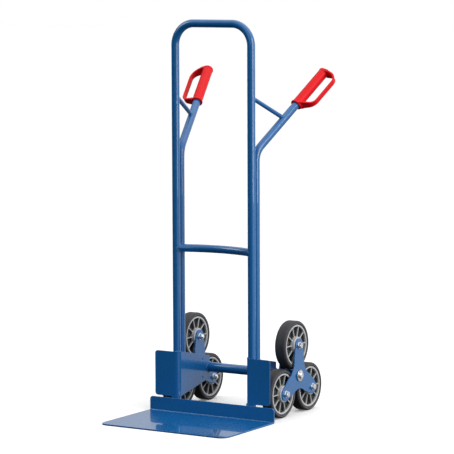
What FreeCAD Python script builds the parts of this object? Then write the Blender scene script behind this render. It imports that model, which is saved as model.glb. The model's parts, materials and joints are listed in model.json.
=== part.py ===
"""Stair-climbing hand truck: a tubular hoop frame with a toe plate and two three-wheel stars.

Millimetres, +Z up, +Y to the rear, where the user walks, +X to the right seen from the toe plate.
The origin is on the floor, at the middle of the truck's footprint. Every sub-part is an object of
one document, and its sizes are bound to the "dimensions" sheet. "left" is -X and "right" is +X.
"""

import FreeCAD
import Part

import math
import os
import re

import Sketcher
from FreeCAD import Placement, Rotation, Vector

DIMENSIONS = [
    ("overall_height", 1300, "floor to the top of the hoop"),
    ("leg_line_y", -10.471, "place of the legs along the truck"),
    ("leg_spacing", 290, "between the centre lines of the two legs"),
    ("leg_bottom", 6, "floor to the cut end of a leg"),
    ("tube_diameter", 26, "steel tube of the hoop, the crossbar and the handles"),
    ("tube_bore", 22, "bore of the same tube"),
    ("hoop_radius", 71, "bend radius of the hoop's top corners, to the centre line"),
    ("bar_height", 549, "floor to the crossbar"),
    ("bar_bow", 32, "how far the crossbar bows to the rear, to clear a barrel"),
    ("bar_trim", 4, "crossbar's ends stop this far short of the leg's centre line"),
    ("handle_gap", 27.2, "leg line to the handle tube behind it"),
    ("handle_bottom", 70, "floor to the cut lower end of a handle tube"),
    ("handle_knee", 874.4, "height where the handle's two straight runs would meet"),
    ("handle_rise", 38.4, "slope of the handle's upper run, degrees above the horizontal"),
    ("handle_splay", 15.2, "how far the upper run turns outwards, degrees seen from above"),
    ("handle_reach", 396, "knee to the tube's end inside the grip"),
    ("knee_radius", 62, "bend radius of the handle, to the centre line"),
    ("strut_diameter", 10, "brace rod from a leg to a handle"),
    ("strut_height", 1052, "where the brace meets the leg"),
    ("strut_reach", 164, "knee to the brace, along the handle"),
    ("sheet_gap", 0.05, "between the bracket's bend and the leg that it wraps"),
    ("bracket_sheet", 3, "bracket thickness"),
    ("bracket_bottom", 55, "floor to the bracket's lower edge"),
    ("bracket_top", 205, "floor to the bracket's upper edge"),
    ("bracket_half_width", 222, "truck's middle to the bracket's outer edge"),
    ("bracket_depth", 176, "leg line to the side plate's rear edge"),
    ("bracket_rear_half", 37.5, "half height of the side plate's rear edge"),
    ("tongue_bottom", 10, "floor to the tongue behind the toe plate's flange"),
    ("corner_radius", 10, "rounded corners of the sheet parts"),
    ("hole_diameter", 8.5, "two free holes in each side plate"),
    ("hole_pitch", 60, "between those holes"),
    ("hole_line", 131, "leg line to those holes"),
    ("axle_behind", 172, "leg line to the axle"),
    ("axle_height", 130, "floor to the axle"),
    ("axle_diameter", 20, "solid axle"),
    ("axle_length", 468, "end to end"),
    ("axle_tube_diameter", 32, "tube round the axle, between the side plates"),
    ("axle_tube_bore", 24, "bore of that tube"),
    ("axle_tube_length", 269, "end to end"),
    ("spacer_diameter", 28, "axle spacer between the axle tube and the star"),
    ("spacer_length", 25, "length of that spacer"),
    ("washer_diameter", 37, "axle washers"),
    ("washer_sheet", 2.5, "washer thickness"),
    ("axle_chamfer", 1.5, "chamfer at the axle's ends"),
    ("pin_diameter", 3.2, "split pin through the axle"),
    ("pin_tail", 6, "how far the split pin's legs stand out below the axle"),
    ("pin_eye_lift", 5, "axle's skin to the middle of the split pin's eye"),
    ("pin_eye", 9, "outside of the split pin's eye"),
    ("pin_eye_hole", 4.4, "inside of that eye"),
    ("pin_place", 229.5, "truck's middle to the split pin"),
    ("plate_width", 480, "toe plate, side to side"),
    ("plate_depth", 305, "toe plate, front edge to the back of its flange"),
    ("plate_sheet", 5, "toe plate thickness"),
    ("plate_bend", 2, "inner radius of the toe plate's bend"),
    ("flange_height", 50, "toe plate's upright flange"),
    ("plate_corner", 30, "rounded front corners of the toe plate"),
    ("star_radius", 100, "star's axis to each wheel's axis"),
    ("star_inner", 165, "truck's middle to the star's inner plate"),
    ("star_outer", 219, "truck's middle to the inner face of the star's outer plate"),
    ("star_sheet", 4, "star plate thickness"),
    ("lobe_radius", 23, "rounded end of each star arm"),
    ("crotch_radius", 57, "hollow between two star arms"),
    ("crotch_reach", 44, "star's axis to the nearest point of that hollow"),
    ("hub_diameter", 32, "tube between the two star plates"),
    ("bush_diameter", 26, "plastic bushes in that tube"),
    ("bush_flange", 31, "flange of those bushes"),
    ("bush_lip", 1.5, "thickness of that flange"),
    ("bush_length", 20, "bush, without its flange"),
    ("running_gap", 0.05, "radial clearance of every running fit"),
    ("tight_gap", 0.05, "radial clearance of a pushed-on part, such as a grip or a nut"),
    ("plug_gap", 0.1, "radial clearance of a plug in its tube, or a bush in a star plate"),
    ("sleeve_gap", 0.15, "radial clearance of a bolt in its sleeve"),
    ("axle_gap", 0.2, "radial clearance of a spacer or washer on the axle"),
    ("bolt_washer_gap", 0.3, "radial clearance of a bolt washer"),
    ("end_float", 0.4, "play of a star along the axle"),
    ("wheel_middle", 194, "truck's middle to the middle of each wheel"),
    ("wheel_diameter", 160, "over the tread"),
    ("tyre_width", 40, "tyre, side to side"),
    ("tyre_shoulder", 7, "radius of the tyre's shoulders"),
    ("tyre_foot", 2, "how far the tyre's side is cut back where it meets the rim"),
    ("tyre_foot_height", 3, "height of that cut"),
    ("rim_diameter", 134, "tyre seat of the rim"),
    ("rim_inside", 123, "inside of the rim's ring"),
    ("rim_width", 36, "rim's ring, side to side"),
    ("web_sheet", 5, "disc between hub and ring"),
    ("rib_sheet", 3, "radial ribs of the rim"),
    ("rib_width", 31, "radial ribs, side to side"),
    ("boss_diameter", 55, "rim's hub"),
    ("boss_width", 49, "rim's hub, side to side"),
    ("bearing_diameter", 22, "bush pressed into the rim's hub"),
    ("sleeve_diameter", 16, "steel sleeve that the wheel turns on"),
    ("bolt_diameter", 12, "wheel bolts"),
    ("bolt_clear", 0.5, "radial room round a bolt in the star plates"),
    ("bolt_tail", 2, "bolt's thread beyond the nut"),
    ("head_flats", 18, "bolt head and nut, across flats"),
    ("head_height", 7.5, "bolt head"),
    ("nut_height", 11, "lock nut"),
    ("bolt_washer_diameter", 24, "washer under each head and nut"),
    ("grip_diameter", 34, "plastic grip sleeve"),
    ("grip_start", 231, "knee to the grip's lower end"),
    ("grip_length", 170, "end to end"),
    ("collar_diameter", 39, "raised collars at the grip's ends"),
    ("collar_width", 6, "length of each collar"),
    ("collar_round", 3, "rounding of the grip's closed end"),
    ("grip_room", 0.5, "between the handle's end and the grip's closed end"),
    ("guard_start", 5, "grip's axis to the point where the guard begins, inside the sleeve"),
    ("guard_turn", 15.2, "guard's slope below the sideways direction, degrees"),
    ("guard_offset", 57.7, "grip's axis to the middle of the guard bar"),
    ("guard_bar", 7.6, "guard bar thickness"),
    ("guard_root_width", 30, "guard's width where it meets the sleeve"),
    ("guard_bar_width", 15, "guard's width at its outer bar"),
    ("guard_low_lean", 22, "how far the guard's lower arm climbs on its way out"),
    ("guard_high_lean", 6, "how far the guard's upper arm drops on its way out"),
    ("guard_round", 27, "middle-line radius of the guard's corners"),
]

ALIASES = {alias for alias, _, _ in DIMENSIONS}
SIDES = {"left": -1, "right": 1}
WHEELS = {"top": 90, "front": 210, "rear": 330}  # angle from +Y towards +Z, as the truck stands
ARMS = len(WHEELS)
RIBS = 10
PLUG_LIP = 3
PLUG_DEPTH = 18
COPE_LENGTH = 120  # of the cylinders that cut a brace's ends
NEAR = 0.01  # how closely an edge has to match the one that is looked for

doc = FreeCAD.newDocument("hand_truck")
parts = []


def add_sheet():
    """The spreadsheet of driving dimensions, one alias to a row."""
    sheet = doc.addObject("Spreadsheet::Sheet", "dimensions")
    for row, (alias, number, note) in enumerate(DIMENSIONS, start=1):
        sheet.set(f"A{row}", note)
        sheet.set(f"B{row}", str(number))
        sheet.setAlias(f"B{row}", alias)
    doc.recompute()
    return sheet


sheet = add_sheet()


def value(expression):
    """What an expression of aliases comes to now."""
    result = sheet.evalExpression(str(expression))
    return float(getattr(result, "Value", result))


def bind(item, name, expression):
    """Ties a property or a sketch constraint to the sheet."""
    linked = re.sub(
        r"[a-z]\w*",
        lambda word: "dimensions." + word[0] if word[0] in ALIASES else word[0],
        str(expression),
    )
    item.setExpression(name, linked)


# ---- sketches -----------------------------------------------------------------------------------


def new_body(label, x="0", y="0", z="0", several=False):
    """An empty body at a bound place. Its label is the name of the sub-part."""
    body = doc.addObject("PartDesign::Body", label)
    body.Label = label
    body.AllowCompound = several
    for letter, expression in zip("xyz", (x, y, z)):
        bind(body, f"Placement.Base.{letter}", expression)
    parts.append(body)
    return body


def origin_plane(body, role):
    return next(item for item in body.Origin.OriginFeatures if item.Role == role)


def new_sketch(body, plane, offset="0"):
    """A sketch on one of the body's own origin planes, moved along the plane's normal."""
    sketch = body.newObject("Sketcher::SketchObject", body.Label + "_sketch")
    sketch.AttachmentSupport = [(origin_plane(body, plane + "_Plane"), "")]
    sketch.MapMode = "FlatFace"
    bind(sketch, "AttachmentOffset.Base.z", offset)
    return sketch


def pin_point(sketch, element, end, x, y):
    """Fixes one point of a sketch element by two bound distances from the origin."""
    for kind, axis, expression in (("DistanceX", -2, x), ("DistanceY", -1, y)):
        distance = value(expression)
        if abs(distance) < 1e-9:
            sketch.addConstraint(Sketcher.Constraint("PointOnObject", element, end, axis))
        else:
            sketch.addConstraint(Sketcher.Constraint(kind, -1, 1, element, end, distance))
            bind(sketch, f"Constraints[{sketch.ConstraintCount - 1}]", expression)


def circle(sketch, x, y, diameter):
    """A circle with bound centre and diameter."""
    centre = Vector(value(x), value(y), 0)
    size = value(diameter)
    element = sketch.addGeometry(Part.Circle(centre, Vector(0, 0, 1), size / 2), False)
    pin_point(sketch, element, 3, x, y)
    sketch.addConstraint(Sketcher.Constraint("Diameter", element, size))
    bind(sketch, f"Constraints[{sketch.ConstraintCount - 1}]", diameter)


def outline(sketch, corners):
    """A closed outline. A corner is (x, y), or (x, y, radius, turn) where an arc leaves it for the
    next corner: turn is 1 where the arc runs anticlockwise and -1 where it runs clockwise."""
    points = [Vector(value(corner[0]), value(corner[1]), 0) for corner in corners]
    leaving = []
    arriving = []
    for index, corner in enumerate(corners):
        start, end = points[index], points[(index + 1) % len(points)]
        if len(corner) == 2:
            element = sketch.addGeometry(Part.LineSegment(start, end), False)
            leaving.append((element, 1))
            arriving.append((element, 2))
            continue
        radius, turn = value(corner[2]), corner[3]
        chord = end - start
        rise = math.sqrt(max(radius**2 - (chord.Length / 2) ** 2, 0))
        across = Vector(-chord.y, chord.x, 0) / chord.Length
        centre = (start + end) / 2 + across * rise * turn
        first, last = (start, end) if turn > 0 else (end, start)
        angles = [math.atan2(p.y - centre.y, p.x - centre.x) for p in (first, last)]
        arc = Part.ArcOfCircle(Part.Circle(centre, Vector(0, 0, 1), radius), *angles)
        element = sketch.addGeometry(arc, False)
        leaving.append((element, 1 if turn > 0 else 2))
        arriving.append((element, 2 if turn > 0 else 1))
        sketch.addConstraint(Sketcher.Constraint("Radius", element, radius))
        bind(sketch, f"Constraints[{sketch.ConstraintCount - 1}]", corner[2])
    for index, corner in enumerate(corners):
        pin_point(sketch, *leaving[index], corner[0], corner[1])
        sketch.addConstraint(Sketcher.Constraint("Coincident", *arriving[index - 1], *leaving[index]))


def rectangle(sketch, x_low, x_high, y_low, y_high):
    outline(sketch, [(x_low, y_low), (x_high, y_low), (x_high, y_high), (x_low, y_high)])


def hexagon(sketch, x, y, flats):
    """A hexagon with two corners along the sketch's X direction."""
    reach = f"{flats} / cos(30) / 2"
    angles = range(0, 360, 60)
    outline(sketch, [(f"{x} + {reach} * cos({a})", f"{y} + {reach} * sin({a})") for a in angles])


# ---- features -----------------------------------------------------------------------------------


def pad(body, sketch, length, symmetric=False, reverse=False):
    feature = body.newObject("PartDesign::Pad", body.Label + "_pad")
    feature.Profile = sketch
    feature.SideType = "Symmetric" if symmetric else "One side"
    feature.Reversed = reverse
    bind(feature, "Length", length)
    return feature


def pocket(body, sketch, length):
    """A cut to both sides of its sketch. The volume has to fall."""
    doc.recompute()
    before = body.Shape.Volume
    feature = body.newObject("PartDesign::Pocket", body.Label + "_pocket")
    feature.Profile = sketch
    feature.SideType = "Symmetric"
    bind(feature, "Length", length)
    doc.recompute()
    assert body.Shape.Volume < before - 1, f"{body.Label}: a pocket cuts nothing"
    return feature


def revolution(body, sketch, axis, angle="360"):
    feature = body.newObject("PartDesign::Revolution", body.Label + "_revolution")
    feature.Profile = sketch
    feature.ReferenceAxis = (sketch, [axis])
    feature.Midplane = True
    bind(feature, "Angle", angle)
    return feature


def polar(body, features, count):
    """The features repeated round the body's own X axis."""
    pattern = body.newObject("PartDesign::PolarPattern", body.Label + "_pattern")
    pattern.Originals = features
    pattern.Axis = (origin_plane(body, "X_Axis"), [""])
    pattern.Angle = 360
    pattern.Occurrences = count
    body.Tip = pattern
    return pattern


def mirror(body, features):
    """The features repeated on the other side of the truck."""
    pattern = body.newObject("PartDesign::Mirrored", body.Label + "_mirror")
    pattern.Originals = features
    pattern.MirrorPlane = (origin_plane(body, "YZ_Plane"), [""])
    body.Tip = pattern
    return pattern


def round_edges(body, radius, wanted):
    """A fillet on the edges of the body's last feature that a test picks."""
    doc.recompute()
    base = body.Tip
    edges = [f"Edge{i}" for i, edge in enumerate(base.Shape.Edges, start=1) if wanted(edge)]
    assert edges, f"{body.Label}: no edge to round"
    fillet = body.newObject("PartDesign::Fillet", body.Label + "_fillet")
    fillet.Base = (base, edges)
    bind(fillet, "Radius", radius)
    doc.recompute()
    return fillet


def pipe(body, profile, path):
    feature = body.newObject("PartDesign::AdditivePipe", body.Label + "_pipe")
    feature.Profile = profile
    feature.Spine = path
    return feature


def ring(body, plane, x, y, outside, inside, start, length):
    """A tube or washer: two circles on a plane, padded from start along the plane's normal."""
    sketch = new_sketch(body, plane, start)
    circle(sketch, x, y, outside)
    circle(sketch, x, y, inside)
    return pad(body, sketch, length)


# ---- frame --------------------------------------------------------------------------------------


def bent_path(body, plane, corners, radius):
    """A path of straight runs joined by tangent arcs. corners are the points where runs meet."""
    sketch = new_sketch(body, plane)
    points = [Vector(value(x), value(y), 0) for x, y in corners]
    size = value(radius)
    runs = [end - start for start, end in zip(points, points[1:])]
    turns = [before.getAngle(after) for before, after in zip(runs, runs[1:])]
    setbacks = [0, *(size * math.tan(turn / 2) for turn in turns), 0]
    lines = []
    for i, run in enumerate(runs):
        along = Vector(run).normalize()
        ends = points[i] + along * setbacks[i], points[i + 1] - along * setbacks[i + 1]
        lines.append(sketch.addGeometry(Part.LineSegment(*ends), False))
    for i in range(1, len(runs)):
        start, end = sketch.getPoint(lines[i - 1], 2), sketch.getPoint(lines[i], 1)
        inwards = ((start + end) / 2 - points[i]).normalize()
        middle = points[i] + inwards * (math.hypot(size, setbacks[i]) - size)
        element = sketch.addGeometry(Part.Arc(start, middle, end), False)
        near, far = (1, 2) if sketch.getPoint(element, 1).isEqual(start, NEAR) else (2, 1)
        sketch.addConstraint(Sketcher.Constraint("Tangent", lines[i - 1], 2, element, near))
        sketch.addConstraint(Sketcher.Constraint("Tangent", element, far, lines[i], 1))
        sketch.addConstraint(Sketcher.Constraint("Radius", element, size))
        bind(sketch, f"Constraints[{sketch.ConstraintCount - 1}]", radius)
    return sketch, lines


def frame_hoop():
    """The main hoop: two legs and the top, bent from one tube."""
    body = new_body("frame_hoop", y="leg_line_y")
    half = "leg_spacing / 2"
    crown = "overall_height - tube_diameter / 2"
    corners = [(f"-{half}", "leg_bottom"), (f"-{half}", crown), (half, crown), (half, "leg_bottom")]
    path, (left, top, right) = bent_path(body, "XZ", corners, "hoop_radius")
    pin_point(path, left, 1, *corners[0])
    pin_point(path, right, 2, *corners[3])
    for kind, line in (("Vertical", left), ("Horizontal", top), ("Vertical", right)):
        path.addConstraint(Sketcher.Constraint(kind, line))
    path.addConstraint(Sketcher.Constraint("DistanceY", -1, 1, top, 1, value(crown)))
    bind(path, f"Constraints[{path.ConstraintCount - 1}]", crown)
    profile = new_sketch(body, "XY", "leg_bottom")
    circle(profile, f"-{half}", "0", "tube_diameter")
    circle(profile, f"-{half}", "0", "tube_bore")
    pipe(body, profile, path)


def cross_bar():
    """The bowed crossbar: a piece of a large tube ring, its ends coped to the legs and handles."""
    bow_radius = "(leg_spacing ^ 2 / 8 / bar_bow + bar_bow / 2)"
    body = new_body("cross_bar", y=f"leg_line_y + bar_bow - {bow_radius}", z="bar_height")
    section = new_sketch(body, "YZ")
    circle(section, bow_radius, "0", "tube_diameter")
    circle(section, bow_radius, "0", "tube_bore")
    revolution(body, section, "V_Axis", f"2 * asin(leg_spacing / 2 / {bow_radius})")
    cope = new_sketch(body, "XY")
    leg_y = f"{bow_radius} - bar_bow"
    trim = new_sketch(body, "XY")
    for sign in ("-", ""):
        for tube_y in (leg_y, f"{leg_y} + handle_gap"):
            circle(cope, f"{sign}leg_spacing / 2", tube_y, "tube_diameter + 2 * sheet_gap")
        ends = f"{sign}(leg_spacing / 2 - bar_trim)", f"{sign}leg_spacing"
        rectangle(trim, *ends, f"{leg_y} - tube_diameter", f"{leg_y} + 2 * tube_diameter")
    pocket(body, cope, "2 * tube_diameter")
    pocket(body, trim, "2 * tube_diameter")


def handle_directions(side):
    """Unit vectors at a handle's upper run: along the tube, and towards the guard."""
    rise, splay, turn = (math.radians(value(a)) for a in ("handle_rise", "handle_splay", "guard_turn"))
    sign = SIDES[side]
    out, back = math.sin(splay) * sign, math.cos(splay)
    along = Vector(out * math.cos(rise), back * math.cos(rise), math.sin(rise))
    sideways = Vector(back * sign, -out * sign, 0)
    down = Vector(out * math.sin(rise), back * math.sin(rise), -math.cos(rise))
    return along, sideways * math.cos(turn) + down * math.sin(turn)


def handle_knee(side):
    """Where the two straight runs of a handle's centre line would meet."""
    return Vector(
        SIDES[side] * value("leg_spacing / 2"), value("leg_line_y + handle_gap"), value("handle_knee")
    )


def handle_tube(side):
    """A handle tube: up along the back of the leg, then out and back to the grip."""
    body = new_body(
        f"{side}_handle_tube", x=f"{SIDES[side]} * leg_spacing / 2", y="leg_line_y + handle_gap"
    )
    body.Placement.Rotation = Rotation(Vector(0, 0, 1), -SIDES[side] * value("handle_splay"))
    tip = ("handle_reach * cos(handle_rise)", "handle_knee + handle_reach * sin(handle_rise)")
    corners = [("0", "handle_bottom"), ("0", "handle_knee"), tip]
    path, (lower, upper) = bent_path(body, "YZ", corners, "knee_radius")
    pin_point(path, lower, 1, *corners[0])
    path.addConstraint(Sketcher.Constraint("Vertical", lower))
    bend_start = "handle_knee - knee_radius * tan(45 - handle_rise / 2)"
    path.addConstraint(Sketcher.Constraint("DistanceY", -1, 1, lower, 2, value(bend_start)))
    bind(path, f"Constraints[{path.ConstraintCount - 1}]", bend_start)
    pin_point(path, upper, 2, *tip)
    profile = new_sketch(body, "XY", "handle_bottom")
    circle(profile, "0", "0", "tube_diameter")
    circle(profile, "0", "0", "tube_bore")
    pipe(body, profile, path)


def primitive(kind, label, place, **sizes):
    """A Part primitive at a place, with bound sizes."""
    item = doc.addObject(kind, label)
    item.Placement = place
    for name, expression in sizes.items():
        bind(item, name, expression)
    return item


def handle_strut(side):
    """The brace rod between leg and handle, its ends cut to sit on both tubes."""
    leg = Vector(SIDES[side] * value("leg_spacing / 2"), value("leg_line_y"), value("strut_height"))
    along, _ = handle_directions(side)
    meeting = handle_knee(side) + along * value("strut_reach")
    upright = Rotation()
    lean = Rotation(Vector(0, 0, 1), meeting - leg)
    slope = Rotation(Vector(0, 0, 1), along)
    name = f"{side}_handle_strut"
    rod = primitive("Part::Cylinder", name + "_rod", Placement(leg, lean), Radius="strut_diameter / 2")
    rod.Height = (meeting - leg).Length
    tools = []
    for place, turn in ((leg, upright), (meeting, slope)):
        start = place - turn.multVec(Vector(0, 0, COPE_LENGTH / 2))
        tool = primitive(
            "Part::Cylinder",
            name + "_cope",
            Placement(start, turn),
            Radius="tube_diameter / 2 + sheet_gap",
        )
        tool.Height = COPE_LENGTH
        tools.append(tool)
    cope = doc.addObject("Part::MultiFuse", name + "_copes")
    cope.Shapes = tools
    strut = doc.addObject("Part::Cut", name)
    strut.Label = name
    strut.Base = rod
    strut.Tool = cope
    parts.append(strut)


def bracket(side):
    """The folded bracket: front flange, bend round the leg, side plate that holds the axle tube,
    and a tongue that runs down behind the toe plate's flange."""
    sign = "-" if side == "left" else ""
    turn = SIDES[side]
    body = new_body(f"{side}_bracket", y="leg_line_y")
    inner = "(tube_diameter / 2 + sheet_gap)"
    outer = "(tube_diameter / 2 + sheet_gap + bracket_sheet)"
    middle = "leg_spacing / 2"
    profile = new_sketch(body, "XY", "bracket_bottom")
    outline(
        profile,
        [
            (f"{sign}bracket_half_width", f"-{outer}"),
            (f"{sign}{middle}", f"-{outer}", outer, -turn),
            (f"{sign}({middle} - {outer})", "0"),
            (f"{sign}({middle} - {outer})", "bracket_depth"),
            (f"{sign}({middle} - {inner})", "bracket_depth"),
            (f"{sign}({middle} - {inner})", "0", inner, turn),
            (f"{sign}{middle}", f"-{inner}"),
            (f"{sign}bracket_half_width", f"-{inner}"),
        ],
    )
    pad(body, profile, "bracket_top - bracket_bottom")
    half_width = value("bracket_half_width")
    round_edges(
        body,
        "corner_radius",
        lambda edge: abs(edge.Length - value("bracket_sheet")) < NEAR
        and abs(abs(edge.CenterOfMass.x) - half_width) < NEAR,
    )
    half_height = "(bracket_top - bracket_bottom) / 2"
    for up in ("", "-"):
        wedge = new_sketch(body, "YZ")
        rear_z = f"axle_height + {up}1 * bracket_rear_half"
        front_z = f"axle_height + {up}1 * {half_height}"
        outline(
            wedge,
            [
                ("0", front_z),
                ("bracket_depth + 1", rear_z),
                ("bracket_depth + 1", f"{front_z} + {up}1"),
                ("0", f"{front_z} + {up}1"),
            ],
        )
        pocket(body, wedge, "leg_spacing + 20")
    holes = new_sketch(body, "YZ")
    circle(holes, "axle_behind", "axle_height", "axle_tube_diameter + 2 * sheet_gap")
    for sense in ("-", "+"):
        circle(holes, "hole_line", f"axle_height {sense} hole_pitch / 2", "hole_diameter")
    pocket(body, holes, "leg_spacing + 20")
    tongue = new_sketch(body, "XZ", inner)
    edges = [f"{sign}({middle} - {outer} + bracket_sheet)", f"{sign}({middle} + {inner})"]
    if side == "left":
        edges.reverse()
    rectangle(tongue, *edges, "tongue_bottom", "bracket_bottom + 1")
    pad(body, tongue, "bracket_sheet")


def toe_plate():
    """The toe plate: a folded sheet with an upright flange at its rear."""
    body = new_body("toe_plate", y="leg_line_y - tube_diameter / 2 - sheet_gap - bracket_sheet")
    profile = new_sketch(body, "YZ")
    outline(
        profile,
        [
            ("0", "0"),
            ("0", "flange_height"),
            ("-plate_sheet", "flange_height"),
            ("-plate_sheet", "plate_sheet"),
            ("-plate_depth", "plate_sheet"),
            ("-plate_depth", "0"),
        ],
    )
    pad(body, profile, "plate_width", symmetric=True)
    sheet_thickness, depth = value("plate_sheet"), value("plate_depth")
    round_edges(
        body,
        "plate_corner",
        lambda edge: abs(edge.CenterOfMass.y + depth) < NEAR
        and abs(edge.Length - sheet_thickness) < NEAR,
    )
    top = value("flange_height")
    round_edges(
        body,
        "corner_radius",
        lambda edge: abs(edge.CenterOfMass.z - top) < NEAR
        and abs(edge.Length - sheet_thickness) < NEAR,
    )
    width = value("plate_width")

    def lengthwise(edge, y, z):
        centre = edge.CenterOfMass
        return edge.Length > width - 1 and abs(centre.y - y) < NEAR and abs(centre.z - z) < NEAR

    round_edges(body, "plate_sheet + plate_bend", lambda edge: lengthwise(edge, 0, 0))
    inside = -sheet_thickness, sheet_thickness
    round_edges(body, "plate_bend", lambda edge: lengthwise(edge, *inside))


def end_plugs():
    """Plastic plugs in the lower ends of the legs and of the handle tubes."""
    for name, y, bottom in (
        ("leg_end_plugs", "leg_line_y", "leg_bottom"),
        ("handle_end_plugs", "leg_line_y + handle_gap", "handle_bottom"),
    ):
        body = new_body(name, y=y, z=bottom, several=True)
        lip = new_sketch(body, "XY", f"-{PLUG_LIP}")
        circle(lip, "leg_spacing / 2", "0", "tube_diameter")
        stem = new_sketch(body, "XY")
        circle(stem, "leg_spacing / 2", "0", "tube_bore - 2 * plug_gap")
        mirror(body, [pad(body, lip, str(PLUG_LIP)), pad(body, stem, str(PLUG_DEPTH))])


# ---- axle ---------------------------------------------------------------------------------------

AXLE = {"y": "leg_line_y + axle_behind", "z": "axle_height"}


def axle_tube():
    body = new_body("axle_tube", x="-axle_tube_length / 2", **AXLE)
    ring(body, "YZ", "0", "0", "axle_tube_diameter", "axle_tube_bore", "0", "axle_tube_length")


def axle_rod():
    """The solid axle, chamfered and drilled for a split pin at each end."""
    body = new_body("axle_rod", **AXLE)
    section = new_sketch(body, "YZ")
    circle(section, "0", "0", "axle_diameter")
    pad(body, section, "axle_length", symmetric=True)
    doc.recompute()
    rod = body.Tip
    rims = [f"Edge{i}" for i, edge in enumerate(rod.Shape.Edges, start=1) if edge.Closed]
    chamfer = body.newObject("PartDesign::Chamfer", "axle_rod_chamfer")
    chamfer.Base = (rod, rims)
    bind(chamfer, "Size", "axle_chamfer")
    drill = new_sketch(body, "XY")
    for sign in ("-", ""):
        circle(drill, f"{sign}pin_place", "0", "pin_diameter + 2 * plug_gap")
    pocket(body, drill, "2 * axle_diameter")


def axle_small_parts():
    """Spacers, washers and split pins that keep each star in its place along the axle."""
    tube_end, bore = "axle_tube_length / 2", "axle_diameter + 2 * axle_gap"
    spacers = new_body("axle_spacers", **AXLE, several=True)
    spacer = ring(spacers, "YZ", "0", "0", "spacer_diameter", bore, tube_end, "spacer_length")
    mirror(spacers, [spacer])
    washers = new_body("axle_washers", **AXLE, several=True)
    starts = f"{tube_end} + spacer_length", "star_outer + star_sheet + bush_lip + end_float"
    mirror(
        washers,
        [
            ring(washers, "YZ", "0", "0", "washer_diameter", bore, start, "washer_sheet")
            for start in starts
        ],
    )
    pins = new_body("axle_split_pins", **AXLE, several=True)
    shank = new_sketch(pins, "XY", "-axle_diameter / 2 - pin_tail")
    circle(shank, "pin_place", "0", "pin_diameter")
    eye = new_sketch(pins, "YZ", "pin_place")
    for diameter in ("pin_eye", "pin_eye_hole"):
        circle(eye, "0", "axle_diameter / 2 + pin_eye_lift", diameter)
    shank_length = "axle_diameter + pin_tail + pin_eye_lift - (pin_eye + pin_eye_hole) / 4"
    mirror(
        pins,
        [pad(pins, shank, shank_length), pad(pins, eye, "0.8 * pin_diameter", symmetric=True)],
    )


# ---- stars --------------------------------------------------------------------------------------


def star_outline(sketch):
    """Three arms with rounded ends, joined by hollow arcs. Each arm's sides touch both arcs."""
    reach = value("star_radius")
    lobe, hollow = value("lobe_radius"), value("crotch_radius")
    hollow_reach = value("crotch_reach") + hollow
    half_step = math.pi / ARMS
    gap = math.hypot(reach - hollow_reach * math.cos(half_step), hollow_reach * math.sin(half_step))
    lean = math.atan2(reach - hollow_reach * math.cos(half_step), hollow_reach * math.sin(half_step))
    tilt = math.acos((lobe + hollow) / gap) - lean
    corners = []
    for arm in range(ARMS):
        angle = math.pi / 2 + 2 * math.pi * arm / ARMS

        def turned(across, along):
            x = along * math.cos(angle) + across * math.sin(angle)
            y = along * math.sin(angle) - across * math.cos(angle)
            return f"{x:.6f}", f"{y:.6f}"

        tip_side = lobe * math.cos(tilt), reach + lobe * math.sin(tilt)
        root_side = (
            hollow_reach * math.sin(half_step) - hollow * math.cos(tilt),
            hollow_reach * math.cos(half_step) - hollow * math.sin(tilt),
        )
        corners.append(turned(*root_side))
        corners.append((*turned(*tip_side), "lobe_radius", 1))
        corners.append(turned(-tip_side[0], tip_side[1]))
        corners.append((*turned(-root_side[0], root_side[1]), "crotch_radius", -1))
    outline(sketch, corners)


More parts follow.
